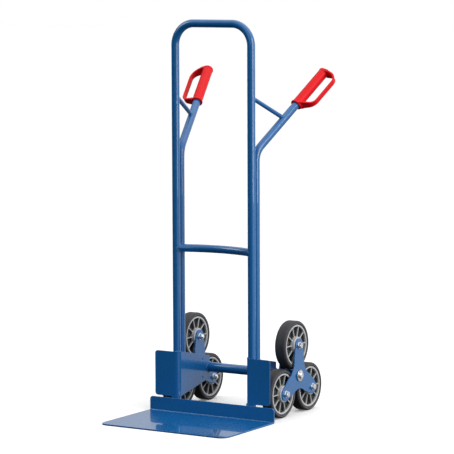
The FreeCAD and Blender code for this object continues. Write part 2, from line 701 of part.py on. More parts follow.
def star(side):
    """One star: two plates on a hub tube, with bushes, and three bolted wheel axles."""
    sign = SIDES[side]

    def star_body(name, several=True):
        return new_body(f"{side}_{name}", **AXLE, several=several)

    def from_inside(start, length):
        """Where a piece starts along +X, given how far out it starts and how long it is."""
        return start if sign > 0 else f"-({start}) - ({length})"

    for name, start in (("star_inner_plate", "star_inner"), ("star_outer_plate", "star_outer")):
        body = star_body(name, several=False)
        shape = new_sketch(body, "YZ", from_inside(start, "star_sheet"))
        star_outline(shape)
        pad(body, shape, "star_sheet")
        holes = new_sketch(body, "YZ")
        circle(holes, "0", "0", "bush_diameter + 2 * plug_gap")
        for arm in range(ARMS):
            angle = 90 + 360 // ARMS * arm
            circle(
                holes,
                f"star_radius * cos({angle})",
                f"star_radius * sin({angle})",
                "bolt_diameter + 2 * bolt_clear",
            )
        pocket(body, holes, "3 * star_outer")

    between = "star_outer - star_inner - star_sheet"
    hub_start = "star_inner + star_sheet"
    hub = star_body("star_hub_tube", several=False)
    hub_bore = "bush_diameter + 2 * tight_gap"
    ring(hub, "YZ", "0", "0", "hub_diameter", hub_bore, from_inside(hub_start, between), between)

    bushes = star_body("star_bushes")
    bore = "axle_diameter + 2 * running_gap"
    barrels = (
        ("star_inner - bush_lip", "bush_lip", "bush_flange"),
        ("star_inner", "star_sheet + bush_length", "bush_diameter"),
        ("star_outer + star_sheet", "bush_lip", "bush_flange"),
        ("star_outer - bush_length", "star_sheet + bush_length", "bush_diameter"),
    )
    for start, length, outside in barrels:
        ring(bushes, "YZ", "0", "0", outside, bore, from_inside(start, length), length)

    sleeves = star_body("wheel_sleeves")
    sleeve_bore = "bolt_diameter + 2 * sleeve_gap"
    at_wheel = "0", "star_radius"
    start = from_inside(hub_start, between)
    sleeve = ring(sleeves, "YZ", *at_wheel, "sleeve_diameter", sleeve_bore, start, between)
    polar(sleeves, [sleeve], ARMS)

    washers = star_body("bolt_washers")
    across = "bolt_washer_diameter", "bolt_diameter + 2 * bolt_washer_gap"
    rings = []
    for start in ("star_inner - washer_sheet", "star_outer + star_sheet"):
        start = from_inside(start, "washer_sheet")
        rings.append(ring(washers, "YZ", *at_wheel, *across, start, "washer_sheet"))
    polar(washers, rings, ARMS)

    bolts = star_body("wheel_bolts")
    head_start = "star_outer + star_sheet + washer_sheet"
    head = new_sketch(bolts, "YZ", from_inside(head_start, "head_height"))
    hexagon(head, *at_wheel, "head_flats")
    shank_start = "star_inner - washer_sheet - nut_height - bolt_tail"
    shank_length = f"{head_start} - ({shank_start})"
    shank = new_sketch(bolts, "YZ", from_inside(shank_start, shank_length))
    circle(shank, *at_wheel, "bolt_diameter")
    polar(bolts, [pad(bolts, head, "head_height"), pad(bolts, shank, shank_length)], ARMS)

    nuts = star_body("wheel_nuts")
    nut_start = from_inside("star_inner - washer_sheet - nut_height", "nut_height")
    nut = new_sketch(nuts, "YZ", nut_start)
    hexagon(nut, *at_wheel, "head_flats")
    circle(nut, *at_wheel, "bolt_diameter + 2 * tight_gap")
    polar(nuts, [pad(nuts, nut, "nut_height")], ARMS)


# ---- wheels -------------------------------------------------------------------------------------


def wheel(side, place):
    """One wheel: a solid tyre on a ribbed plastic rim, with a bush in its hub."""
    angle = WHEELS[place]
    centre = {
        "x": f"{SIDES[side]} * wheel_middle",
        "y": f"leg_line_y + axle_behind + star_radius * cos({angle})",
        "z": f"axle_height + star_radius * sin({angle})",
    }
    tyre = new_body(f"{side}_{place}_tyre", **centre)
    section = new_sketch(tyre, "XZ")
    tread, seat, half = "wheel_diameter / 2", "rim_diameter / 2", "tyre_width / 2"
    outline(
        section,
        [
            (f"-{half} + tyre_foot", seat),
            (f"{half} - tyre_foot", seat),
            (half, f"{seat} + tyre_foot_height"),
            (half, f"{tread} - tyre_shoulder", "tyre_shoulder", 1),
            (f"{half} - tyre_shoulder", tread),
            (f"-{half} + tyre_shoulder", tread, "tyre_shoulder", 1),
            (f"-{half}", f"{tread} - tyre_shoulder"),
            (f"-{half}", f"{seat} + tyre_foot_height"),
        ],
    )
    revolution(tyre, section, "H_Axis")

    rim = new_body(f"{side}_{place}_rim", **centre)
    section = new_sketch(rim, "XZ")
    levels = ["bearing_diameter / 2", "boss_diameter / 2", "rim_inside / 2", seat]
    widths = ["boss_width / 2", "web_sheet / 2", "rim_width / 2"]
    steps = [(width, levels[i + end]) for i, width in enumerate(widths) for end in (0, 1)]
    far_side = [(f"-{x}", radius) for x, radius in reversed(steps)]
    outline(section, steps + far_side)
    revolution(rim, section, "H_Axis")
    rib = new_sketch(rim, "XZ")
    rectangle(rib, "-rib_width / 2", "rib_width / 2", f"{levels[1]} - 1", f"{levels[2]} + 1")
    polar(rim, [pad(rim, rib, "rib_sheet", symmetric=True)], RIBS)

    bush = new_body(f"{side}_{place}_bearing", **centre)
    bore = "sleeve_diameter + 2 * running_gap"
    ring(bush, "YZ", "0", "0", "bearing_diameter", bore, "-boss_width / 2", "boss_width")


# ---- grips --------------------------------------------------------------------------------------


def grip(side):
    """A plastic safety grip: a collared sleeve with a D-shaped knuckle guard, whose strap narrows
    towards its outer bar. The body's Z runs along the handle, and its X points at the guard."""
    forward = "grip_start * cos(handle_rise)"
    body = new_body(
        f"{side}_grip",
        x=f"{SIDES[side]} * (leg_spacing / 2 + {forward} * sin(handle_splay))",
        y=f"leg_line_y + handle_gap + {forward} * cos(handle_splay)",
        z="handle_knee + grip_start * sin(handle_rise)",
    )
    along, outward = handle_directions(side)
    body.Placement.Rotation = Rotation(outward, Vector(), along, "ZXY")
    half_bar = "guard_bar / 2"
    reach_out, reach_in = f"(guard_offset + {half_bar})", f"(guard_offset - {half_bar})"
    band = new_sketch(body, "XZ")
    outline(
        band,
        [
            ("guard_start", "0"),
            (reach_out, "guard_low_lean"),
            (reach_out, "grip_length - guard_high_lean"),
            ("guard_start", "grip_length"),
        ],
    )
    pad(body, band, "guard_root_width", symmetric=True)
    gap = new_sketch(body, "XZ")
    outline(
        gap,
        [
            ("guard_start", "guard_bar"),
            (reach_in, "guard_low_lean + guard_bar"),
            (reach_in, "grip_length - guard_high_lean - guard_bar"),
            ("guard_start", "grip_length - guard_bar"),
        ],
    )
    pocket(body, gap, "2 * guard_root_width")
    width = value("guard_root_width")
    for reach, sense in ((reach_out, "+"), (reach_in, "-")):
        distance = value(reach)
        round_edges(
            body,
            f"guard_round {sense} {half_bar}",
            lambda edge: abs(edge.CenterOfMass.x - distance) < NEAR
            and abs(edge.Length - width) < NEAR,
        )
    for sign in ("", "-"):
        taper = new_sketch(body, "XY")
        corners = [
            ("grip_diameter / 2", f"{sign}guard_root_width / 2"),
            (f"{reach_out} + 1", f"{sign}guard_bar_width / 2"),
            (f"{reach_out} + 1", f"{sign}guard_root_width"),
            ("grip_diameter / 2", f"{sign}guard_root_width"),
        ]
        outline(taper, corners)
        pocket(body, taper, "3 * grip_length")
    sleeve = new_sketch(body, "XZ")
    collar, barrel = "collar_diameter / 2", "grip_diameter / 2"
    outline(
        sleeve,
        [
            ("0", "0"),
            (collar, "0"),
            (collar, "collar_width"),
            (barrel, "collar_width"),
            (barrel, "grip_length - collar_width"),
            (collar, "grip_length - collar_width"),
            (collar, "grip_length - collar_round", "collar_round", 1),
            (f"{collar} - collar_round", "grip_length"),
            ("0", "grip_length"),
        ],
    )
    revolution(body, sleeve, "V_Axis")
    bore = new_sketch(body, "XY")
    circle(bore, "0", "0", "tube_diameter + 2 * tight_gap")
    pocket(body, bore, "2 * (handle_reach - grip_start + grip_room)")


# ---- build --------------------------------------------------------------------------------------


def check_document():
    """Stops the build if any object failed or any sub-part isn't sound."""
    doc.recompute()
    failed = [item.Name for item in doc.Objects if {"Invalid", "Error"} & set(item.State)]
    assert not failed, f"failed objects: {failed}"
    for part in parts:
        assert not part.Shape.isNull() and part.Shape.isValid(), f"{part.Label} has no sound shape"
        assert part.Shape.Solids, f"{part.Label} has no solid"


def main():
    frame_hoop()
    cross_bar()
    toe_plate()
    end_plugs()
    axle_tube()
    axle_rod()
    axle_small_parts()
    for side in SIDES:
        handle_tube(side)
        handle_strut(side)
        bracket(side)
        grip(side)
        star(side)
        for place in WHEELS:
            wheel(side, place)
    check_document()
    os.makedirs("parts", exist_ok=True)
    for part in parts:
        part.Shape.exportStep(f"parts/{part.Label}.step")
        box = part.Shape.BoundBox
        print(f"{part.Label}: {len(part.Shape.Solids)} solid(s), y {box.YMin:.2f} to {box.YMax:.2f}")


main()
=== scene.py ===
"""Looks of the stair-climbing hand truck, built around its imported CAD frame.

Metres, +Z up, +Y to the rear, +X to the right seen from the toe plate, as in the CAD model.
A mesh is passed around as (points, faces) until piece() makes it an object.
"""

import json
import math

import bmesh
import bpy
from mathutils import Matrix, Vector
from mathutils.geometry import tessellate_polygon


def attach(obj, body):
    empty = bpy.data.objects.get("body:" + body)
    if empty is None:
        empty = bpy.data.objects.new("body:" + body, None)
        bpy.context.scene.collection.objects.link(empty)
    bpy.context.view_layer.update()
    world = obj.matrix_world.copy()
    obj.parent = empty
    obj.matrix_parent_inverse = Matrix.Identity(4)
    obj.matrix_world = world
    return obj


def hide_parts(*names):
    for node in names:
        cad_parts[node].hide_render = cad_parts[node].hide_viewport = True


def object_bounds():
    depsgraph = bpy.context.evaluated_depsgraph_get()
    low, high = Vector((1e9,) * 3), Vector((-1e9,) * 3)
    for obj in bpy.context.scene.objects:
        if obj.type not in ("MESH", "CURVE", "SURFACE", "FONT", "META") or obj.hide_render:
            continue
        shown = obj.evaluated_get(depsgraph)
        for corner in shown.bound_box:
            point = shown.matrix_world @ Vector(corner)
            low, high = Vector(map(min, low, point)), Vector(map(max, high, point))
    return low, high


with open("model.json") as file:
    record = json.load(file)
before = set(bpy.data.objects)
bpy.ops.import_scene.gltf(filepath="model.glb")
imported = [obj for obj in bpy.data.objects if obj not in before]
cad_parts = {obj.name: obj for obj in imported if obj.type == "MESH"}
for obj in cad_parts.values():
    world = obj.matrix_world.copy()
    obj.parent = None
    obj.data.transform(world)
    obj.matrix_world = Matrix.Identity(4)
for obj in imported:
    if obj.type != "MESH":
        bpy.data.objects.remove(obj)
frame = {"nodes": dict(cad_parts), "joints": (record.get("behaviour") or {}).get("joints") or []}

CAD_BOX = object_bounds()
mm = 0.001

# ---- sizes, mostly the CAD model's own ----

TUBE_R = 13 * mm
LEG_X = 145 * mm
LEG_BOTTOM = 6 * mm
HOOP_BEND = 71 * mm
BAR_Z, BAR_BOW = 549 * mm, 32 * mm
HANDLE_GAP = 27.2 * mm
HANDLE_BOTTOM, HANDLE_KNEE = 70 * mm, 874.4 * mm
HANDLE_REACH, KNEE_BEND = 396 * mm, 62 * mm
HANDLE_RISE, HANDLE_SPLAY, GUARD_TURN = (math.radians(a) for a in (38.4, 15.2, 15.2))
STRUT_R = 7 * mm  # 5 mm in the CAD model
STRUT_Z, STRUT_REACH = 1052 * mm, 164 * mm
BRACKET_SHEET, BRACKET_EDGE = 3 * mm, 222 * mm
BRACKET_LOW, BRACKET_HIGH = 55 * mm, 205 * mm
BRACKET_DEPTH, BRACKET_REAR_HALF = 176 * mm, 37.7 * mm
TONGUE_LOW, TONGUE_CORNER, TONGUE_LAP, TONGUE_GAP = 10 * mm, 4 * mm, 2 * mm, 0.05 * mm
SHEET_CORNER, REAR_CORNER = 10 * mm, 3 * mm
HOLE_R, HOLE_LINE, HOLE_PITCH = 4.25 * mm, 131 * mm, 60 * mm
AXLE_BEHIND = 172 * mm
AXLE_R, AXLE_HALF, AXLE_CHAMFER = 10 * mm, 234 * mm, 1.5 * mm
AXLE_BORE_R = 10.2 * mm
AXLE_TUBE_R, AXLE_TUBE_BORE_R, AXLE_TUBE_HALF = 16 * mm, 12 * mm, 134.5 * mm
CENTRE_R, CENTRE_DEPTH = 2.6 * mm, 3 * mm  # the lathe's centre marks, only here
SPACER_R, SPACER_LENGTH, SPACER_EDGE = 14 * mm, 25 * mm, 0.8 * mm
WASHER_R, WASHER_SHEET, WASHER_EDGE = 18.5 * mm, 2.5 * mm, 0.5 * mm
PIN_R, PIN_X = 1.6 * mm, 229.5 * mm
PLATE_WIDTH, PLATE_DEPTH, PLATE_SHEET = 480 * mm, 305 * mm, 5 * mm
PLATE_FLANGE, PLATE_CORNER, PLATE_BEND = 50 * mm, 30 * mm, 2 * mm
STAR_R, STAR_INNER, STAR_OUTER, STAR_SHEET = 100 * mm, 165 * mm, 219 * mm, 4 * mm
LOBE_R, CROTCH_R, CROTCH_REACH = 23 * mm, 57 * mm, 44 * mm
HUB_R, BUSH_R, BUSH_LIP = 16 * mm, 13 * mm, 1.5 * mm
STAR_FLOAT = 0.4 * mm
TREAD_R, TYRE_HALF, TYRE_SHOULDER = 80 * mm, 20 * mm, 7 * mm
RIM_R, RIM_INSIDE, RIM_HALF, WEB_HALF = 67 * mm, 61.5 * mm, 18 * mm, 2.5 * mm
RIBS, RIB_SHEET, RIB_HALF = 10, 3 * mm, 15.5 * mm
BOSS_R, BOSS_HALF, BEARING_R = 27.5 * mm, 24.5 * mm, 11 * mm
BOLT_R, BOLT_HOLE_R, HEAD_FLATS, HEAD_HEIGHT = 6 * mm, 6.5 * mm, 18 * mm, 7.5 * mm
NUT_HEIGHT, BOLT_WASHER_R, BOLT_TAIL = 11 * mm, 12 * mm, 2 * mm
THREAD_PITCH, THREAD_DEPTH, NUT_COLLAR = 1.75 * mm, 0.7 * mm, 3 * mm  # only here
GRIP_R, GRIP_START, GRIP_LENGTH = 17 * mm, 231 * mm, 170 * mm
COLLAR_R, COLLAR_WIDTH = 19.5 * mm, 6 * mm
BRIM_R, BRIM_WIDTH = 17.9 * mm, 7.5 * mm  # a full collar in the CAD model
GUARD_OFFSET, GUARD_BAR, GUARD_BEND = 57.7 * mm, 7.6 * mm, 27 * mm
GUARD_ROOT_WIDTH, GUARD_BAR_WIDTH = 30 * mm, 15 * mm
GUARD_LOW_LEAN, GUARD_HIGH_LEAN, GUARD_START = 22 * mm, 6 * mm, 5 * mm
GUARD_TOP_EXTRA, GUARD_TOP_BEND = 3 * mm, 31 * mm  # 0 and 27 mm in the CAD model
GUARD_THICK, GUARD_THICKEST = 7.3 * mm, 10 * mm  # the CAD model's guard is all GUARD_BAR
GUARD_BORDER, GUARD_RECESS = 2.6 * mm, 1.1 * mm  # only here
PLUG_R, PLUG_LIP = 10.9 * mm, 3 * mm
PLUG_DEPTH = 2 * mm  # 18 mm in the CAD model
FIT = 0.05 * mm
SLIVER = 0.3 * mm  # radius of the small cap that closes a solid on its axis

ACROSS, REARWARD, UP = Vector((1, 0, 0)), Vector((0, 1, 0)), Vector((0, 0, 1))
UPRIGHT = Matrix((UP, REARWARD, ACROSS))  # turns a lathe's X axis to Z

SIDES = {"left": -1, "right": 1}
WHEELS = {"top": 90, "front": 210, "rear": 330}
ANCHORS = {joint["name"]: Vector(joint["pos_m"]) for joint in frame["joints"]}
AXLE_Y, AXLE_Z = ANCHORS["right_star_spin"].yz
LEG_Y = AXLE_Y - AXLE_BEHIND
TOP_Z = CAD_BOX[1].z
PLATE_REAR = LEG_Y - TUBE_R - FIT - BRACKET_SHEET

# ---- lines ----


def rounded(points, radius, closed=True, step=math.radians(9)):
    """A line whose corners are rounded. radius is one number, or one for each point."""
    count = len(points)
    radii = radius if hasattr(radius, "__len__") else [radius] * count
    line = []
    for i, point in enumerate(points):
        if radii[i] == 0 or (not closed and i in (0, count - 1)):
            line.append(point.copy())
            continue
        back = (points[i - 1] - point).normalized()
        on = (points[(i + 1) % count] - point).normalized()
        turn = math.pi - back.angle(on)
        setback = radii[i] * math.tan(turn / 2)
        centre = point + (back + on).normalized() * math.hypot(radii[i], setback)
        start, end = point + back * setback - centre, point + on * setback - centre
        steps = max(2, round(turn / step))
        for k in range(steps + 1):
            share = k / steps
            mix = start * math.sin((1 - share) * turn) + end * math.sin(share * turn)
            line.append(centre + mix / math.sin(turn))
    return line


def flat(*pairs):
    return [Vector(pair) for pair in pairs]


def full_turn(count):
    """Evenly spaced angles round a circle, in radians."""
    return [2 * math.pi * k / count for k in range(count)]


def about_x(x, radius, angle):
    """A point at a radius and an angle about the X axis."""
    return Vector((x, radius * math.cos(angle), radius * math.sin(angle)))


def mirrored(half):
    """A flat line from its half at +X, joined to its mirror image."""
    return half + [Vector((-p.x, p.y)) for p in reversed(half)]


def hole(x, y, radius, count=32):
    """A flat circle, run clockwise."""
    angles = full_turn(count)
    return [Vector((x + radius * math.cos(a), y - radius * math.sin(a))) for a in angles]


def arc(x, y, radius, start, end, steps=16):
    """Points on a circle from one angle to another, in degrees."""
    angles = (math.radians(start + (end - start) * k / steps) for k in range(steps + 1))
    return [Vector((x + radius * math.cos(a), y + radius * math.sin(a))) for a in angles]


# ---- meshes ----


def loft(rings, loop=False):
    """A skin over rings of equally many points, closed by its ends or, as a loop, by itself."""
    count, rows = len(rings[0]), len(rings)
    points = [point for ring in rings for point in ring]
    faces = []
    for row in range(rows if loop else rows - 1):
        a, b = row * count, (row + 1) % rows * count
        faces += [(a + i, a + (i + 1) % count, b + (i + 1) % count, b + i) for i in range(count)]
    if not loop:
        faces += [tuple(reversed(range(count))), tuple(range((rows - 1) * count, rows * count))]
    return points, faces


def lathe(profile, closed=False, count=96):
    """A profile of (x, radius) turned about X."""
    return loft([[about_x(x, r, a) for a in full_turn(count)] for x, r in profile], closed)


def plate(loops, thickness, edge=0.6 * mm, steps=4):
    """A flat sheet from z 0 to its thickness, with rounded edges. The first loop runs
    anticlockwise round the outside, and the others clockwise round holes."""
    points, faces, tops, bottoms = [], [], [], []
    for loop in loops:
        insides = []
        for i, point in enumerate(loop):
            before = (point - loop[i - 1]).normalized()
            after = (loop[(i + 1) % len(loop)] - point).normalized()
            normal = Vector((-before.y - after.y, before.x + after.x)).normalized()
            insides.append(normal / max(0.4, normal.dot(Vector((-before.y, before.x)))))
        levels = []
        for k in range(steps + 1):
            angle = math.pi / 2 * k / steps
            levels.append((edge * (1 - math.sin(angle)), edge * (1 - math.cos(angle))))
        levels = [(i, thickness - z) for i, z in levels] + [(i, z) for i, z in reversed(levels)]
        rings = [
            [(p + n * inset).to_3d() + Vector((0, 0, z)) for p, n in zip(loop, insides)]
            for inset, z in levels
        ]
        start, count = len(points), len(loop)
        ring_points, ring_faces = loft(rings)
        points += ring_points
        faces += [tuple(start + i for i in face) for face in ring_faces[:-2]]
        tops += range(start, start + count)
        bottoms += range(len(points) - count, len(points))
    for level, turn in ((tops, 1), (bottoms, -1)):
        flat_loops, at = [], 0
        for loop in loops:
            flat_loops.append([points[i] for i in level[at : at + len(loop)]])
            at += len(loop)
        for triangle in tessellate_polygon(flat_loops):
            faces.append(tuple(level[i] for i in triangle[::turn]))
    return points, faces


def creased(mesh, places):
    """The mesh with extra edges across it at each place along X, so that it can bend."""
    bm = to_bmesh(mesh)
    for x in places:
        everything = bm.verts[:] + bm.edges[:] + bm.faces[:]
        bmesh.ops.bisect_plane(
            bm, geom=everything, plane_co=ACROSS * x, plane_no=ACROSS, dist=1e-7
        )
    bm.verts.index_update()
    points = [v.co.copy() for v in bm.verts]
    faces = [tuple(v.index for v in face.verts) for face in bm.faces]
    bm.free()
    return points, faces


def to_bmesh(mesh):
    bm = bmesh.new()
    points = [bm.verts.new(point) for point in mesh[0]]
    for face in mesh[1]:
        bm.faces.new([points[i] for i in face])
    return bm


def placed(mesh, place):
    """The mesh with its points moved by a matrix or by a function."""
    move = place if callable(place) else lambda point: place @ point
    return [move(point) for point in mesh[0]], mesh[1]


def merged(*meshes):
    points, faces = [], []
    for mesh_points, mesh_faces in meshes:
        faces += [tuple(len(points) + i for i in face) for face in mesh_faces]
        points += mesh_points
    return points, faces


def turned(mesh, angle):
    """The mesh turned about the X axis, in degrees."""
    return placed(mesh, Matrix.Rotation(math.radians(angle), 3, "X"))


def on_side(mesh, sign):
    """A mesh made for the right side, on the side that sign says."""
    return mesh if sign > 0 else placed(mesh, Matrix.Diagonal((-1, 1, 1)))


def sweep(path, radius, side, count=48):
    """A round bar along a flat path. side is the direction across the path's plane."""
    rings = []
    for i, point in enumerate(path):
        tangent = (path[min(i + 1, len(path) - 1)] - path[max(i - 1, 0)]).normalized()
        out = tangent.cross(side).normalized()
        rings.append([
            point + (side * math.cos(a) + out * math.sin(a)) * radius for a in full_turn(count)
        ])
    return loft(rings)


# ---- objects ----

SHARP = math.radians(28)


def shade(bm, data):
    """Mark the edges that look sharp, and write the mesh."""
    for edge in bm.edges:
        edge.smooth = len(edge.link_faces) == 2 and edge.calc_face_angle(0) < SHARP
    bm.to_mesh(data)
    bm.free()


def make_object(name, mesh):
    data = bpy.data.meshes.new(name)
    bm = to_bmesh(mesh)
    bmesh.ops.recalc_face_normals(bm, faces=bm.faces[:])
    for face in bm.faces:
        face.smooth = True
    shade(bm, data)
    thing = bpy.data.objects.new(name, data)
    bpy.context.scene.collection.objects.link(thing)
    return thing


def piece(name, mesh, material, body, nodes=(), at=(0, 0, 0)):
    """A finished piece: its place, its finish, the body that it rides on and what it replaces."""
    thing = mesh if isinstance(mesh, bpy.types.Object) else make_object(name, mesh)
    thing.location = at
    thing.data.materials.clear()
    thing.data.materials.append(material)
    weighted = thing.modifiers.new("weighted", "WEIGHTED_NORMAL")
    weighted.keep_sharp = True
    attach(thing, body)
    if nodes:
        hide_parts(*nodes)


def apply_modifiers(thing):
    """Make an object's modifiers part of its mesh."""
    bpy.context.view_layer.update()
    graph = bpy.context.evaluated_depsgraph_get()
    data = bpy.data.meshes.new_from_object(thing.evaluated_get(graph))
    thing.modifiers.clear()
    thing.data = data


# ---- materials ----


def add(tree, kind, inputs=None, **settings):
    """A shader node. inputs maps sockets to values or to other nodes' outputs."""
    node = tree.nodes.new("ShaderNode" + kind)
    for name, setting in settings.items():
        setattr(node, name, setting)
    for name, source in (inputs or {}).items():
        if isinstance(source, bpy.types.NodeSocket):
            tree.links.new(source, node.inputs[name])
        else:
            node.inputs[name].default_value = source
    return node


def noise(tree, coords, scale, detail=2.0):
    return add(tree, "TexNoise", {"Vector": coords, "Scale": scale, "Detail": detail}).outputs[0]


def spread(tree, source, low, high, start=0.0, end=1.0):
    """The source's range start..end stretched to low..high."""
    values = {0: source, 1: start, 2: end, 3: low, 4: high}
    return add(tree, "MapRange", values).outputs[0]


def between(tree, share, first, second):
    """A colour between two, by a share from 0 to 1."""
    first, second = ((*c, 1) if isinstance(c, tuple) else c for c in (first, second))
    return add(tree, "Mix", {0: share, 6: first, 7: second}, data_type="RGBA").outputs[2]


def maths(tree, operation, a, b=0.0):
    return add(tree, "Math", {0: a, 1: b}, operation=operation).outputs[0]


def edge_mask(tree, radius):
    """About 1 on sharp outer edges and 0 on flat faces."""
    soft = add(tree, "Bevel", {"Radius": radius}, samples=4).outputs[0]
    true = add(tree, "NewGeometry").outputs["Normal"]
    same = add(tree, "VectorMath", {0: soft, 1: true}, operation="DOT_PRODUCT").outputs["Value"]
    return spread(tree, same, 1.0, 0.0, 0.80, 0.99)


def new_material(slot, **sockets):
    material = bpy.data.materials.new(f"{slot}_finish")
    material.use_nodes = True
    tree = material.node_tree
    shader = tree.nodes["Principled BSDF"]
    for name, setting in sockets.items():
        shader.inputs[name.replace("_", " ")].default_value = setting
    coords = add(tree, "TexCoord").outputs["Object"]
    return material, tree, shader, coords


def bump(tree, shader, height, depth):
    normal = add(tree, "Bump", {"Height": height, "Distance": depth, "Strength": 1.0}).outputs[0]
    tree.links.new(normal, shader.inputs["Normal"])


def feed(tree, source, shader, name):
    tree.links.new(source, shader.inputs[name])


def paint():
    """Glossy blue powder coat: an even gloss over a faint orange peel, thinner on its edges."""
    material, tree, shader, coords = new_material(
        "blue_paint", Coat_Weight=1.0, Coat_Roughness=0.035, Coat_IOR=1.5, IOR=1.4
    )
    cloud = noise(tree, coords, 14, 3)
    blue = between(tree, cloud, (0.0035, 0.122, 0.365), (0.0050, 0.140, 0.405))
    worn = maths(tree, "MULTIPLY", edge_mask(tree, 0.9 * mm), spread(tree, cloud, 0.10, 0.45))
    colour = between(tree, worn, blue, (0.05, 0.19, 0.42))
    feed(tree, colour, shader, "Base Color")
    feed(tree, spread(tree, noise(tree, coords, 45, 1), 0.23, 0.33), shader, "Roughness")
    bump(tree, shader, noise(tree, coords, 400, 0), 0.006 * mm)
    return material


def red_plastic():
    """Satin moulded plastic with a spark-eroded grain."""
    material, tree, shader, coords = new_material("red_plastic", IOR=1.34)
    cloud = noise(tree, coords, 40, 3)
    red = between(tree, cloud, (0.76, 0.0008, 0.005), (0.86, 0.0016, 0.008))
    rubbed = maths(tree, "MULTIPLY", edge_mask(tree, 1.2 * mm), 0.35)
    feed(tree, between(tree, rubbed, red, (0.78, 0.03, 0.04)), shader, "Base Color")
    grain = noise(tree, coords, 1500, 2)
    feed(tree, spread(tree, grain, 0.34, 0.48), shader, "Roughness")
    bump(tree, shader, grain, 0.03 * mm)
    return material


def tyre_rubber():
    """Dark grey solid rubber, dusty on the tread, with a painted highlight along the ridge on
    each side.
    """
    material, tree, shader, coords = new_material("tyre", IOR=1.5)
    cloud = noise(tree, coords, 30, 5)
    grey = between(tree, cloud, (0.024, 0.024, 0.028), (0.038, 0.038, 0.044))
    off_axis = add(tree, "VectorMath", {0: coords, 1: (0, 1, 1)}, operation="MULTIPLY").outputs[0]
    radius = add(tree, "VectorMath", {0: off_axis}, operation="LENGTH").outputs["Value"]
    tread = spread(tree, radius, 0, 1, TREAD_R - 3 * mm, TREAD_R)
    # painted highlight: a pale ring on each side's ridge, where the bead's rounded edge would
    # catch the light
    inner = spread(tree, radius, 0, 1, 71.4 * mm, 72.2 * mm)
    outer = spread(tree, radius, 1, 0, 73.2 * mm, 74.2 * mm)
    line = maths(tree, "MULTIPLY", inner, outer)
    patches = spread(tree, noise(tree, coords, 120, 4), 0.0, 0.35, 0.4, 0.8)
    dust = maths(tree, "MULTIPLY", tread, patches)
    dusty = between(tree, dust, grey, (0.085, 0.082, 0.08))
    feed(tree, between(tree, line, dusty, (0.17, 0.17, 0.18)), shader, "Base Color")
    grain = noise(tree, coords, 900, 3)
    feed(tree, spread(tree, grain, 0.55, 0.75), shader, "Roughness")
    bump(tree, shader, grain, 0.05 * mm)
    return material


def rim_plastic():
    """Moulded grey plastic. A painted highlight makes its outer faces pale, and painted shade
    keeps its deep pockets dark.
    """
    material, tree, shader, coords = new_material("rim_plastic", IOR=1.5)
    cloud = noise(tree, coords, 60, 3)
    across = add(tree, "SeparateXYZ", {0: coords}).outputs["X"]
    depth = maths(tree, "ABSOLUTE", across)
    # painted shade and painted highlight: the colour runs from dark deep in the pockets by the
    # web to pale on the outer faces of ring and ribs
    pale = spread(tree, depth, 0, 1, RIB_HALF - 6 * mm, RIB_HALF - 0.3 * mm)
    dark = between(tree, cloud, (0.060, 0.064, 0.064), (0.085, 0.090, 0.090))
    light = between(tree, cloud, (0.50, 0.51, 0.52), (0.62, 0.63, 0.64))
    feed(tree, between(tree, pale, dark, light), shader, "Base Color")
    grain = noise(tree, coords, 1200, 2)
    feed(tree, spread(tree, grain, 0.32, 0.46), shader, "Roughness")
    bump(tree, shader, grain, 0.02 * mm)
    return material


def zinc():
    """Bright zinc plate: pale metal, faintly clouded, with turning marks."""
    material, tree, shader, coords = new_material("zinc", Metallic=1.0)
    cloud = noise(tree, coords, 160, 3)
    metal = between(tree, cloud, (0.80, 0.81, 0.82), (0.93, 0.93, 0.92))
    feed(tree, metal, shader, "Base Color")
    feed(tree, spread(tree, noise(tree, coords, 700, 3), 0.22, 0.42), shader, "Roughness")
    wave = {"Vector": coords, "Scale": 600.0, "Distortion": 1.0}
    marks = add(tree, "TexWave", wave, wave_type="RINGS", rings_direction="X")
    bump(tree, shader, marks.outputs["Fac"], 0.004 * mm)
    return material


def plain_plastic(slot, dark, light, low, high):
    """Moulded plastic with a fine grain."""
    material, tree, shader, coords = new_material(slot, IOR=1.48)
    colour = between(tree, noise(tree, coords, 70, 3), dark, light)
    feed(tree, colour, shader, "Base Color")
    grain = noise(tree, coords, 1300, 2)
    feed(tree, spread(tree, grain, low, high), shader, "Roughness")
    bump(tree, shader, grain, 0.02 * mm)
    return material


BLUE, RED, TYRE, RIM, ZINC = paint(), red_plastic(), tyre_rubber(), rim_plastic(), zinc()
BLACK = plain_plastic("black_plastic", (0.014, 0.014, 0.015), (0.026, 0.026, 0.028), 0.42, 0.58)
WHITE = plain_plastic("white_plastic", (0.62, 0.61, 0.57), (0.74, 0.73, 0.70), 0.35, 0.5)

# ---- tubes ----


def hoop():
    crown = TOP_Z - TUBE_R
    corners = [
        Vector((x, LEG_Y, z))
        for x, z in ((-LEG_X, LEG_BOTTOM), (-LEG_X, crown), (LEG_X, crown), (LEG_X, LEG_BOTTOM))
    ]
    path = rounded(corners, HOOP_BEND, closed=False, step=math.radians(3))
    tube = sweep(path, TUBE_R, REARWARD, 64)
    piece("hoop_tube", tube, BLUE, "frame", ["frame_hoop"])


def handle_line(sign):
    """A handle's knee, its upper run's direction and its guard's direction."""
    knee = Vector((sign * LEG_X, LEG_Y + HANDLE_GAP, HANDLE_KNEE))
    out, back = math.sin(HANDLE_SPLAY) * sign, math.cos(HANDLE_SPLAY)
    rise, level = math.sin(HANDLE_RISE), math.cos(HANDLE_RISE)
    along = Vector((out * level, back * level, rise))
    sideways = Vector((back * sign, -out * sign, 0))
    down = Vector((out * rise, back * rise, -level))
    return knee, along, sideways * math.cos(GUARD_TURN) + down * math.sin(GUARD_TURN)


def handle_tube(side, sign):
    knee, along, _ = handle_line(sign)
    foot = Vector((knee.x, knee.y, HANDLE_BOTTOM))
    corners = [foot, knee, knee + along * HANDLE_REACH]
    path = rounded(corners, KNEE_BEND, closed=False, step=math.radians(3))
    tube = sweep(path, TUBE_R, UP.cross(along).normalized(), 64)
    piece(f"{side}_handle", tube, BLUE, "frame", [f"{side}_handle_tube"])


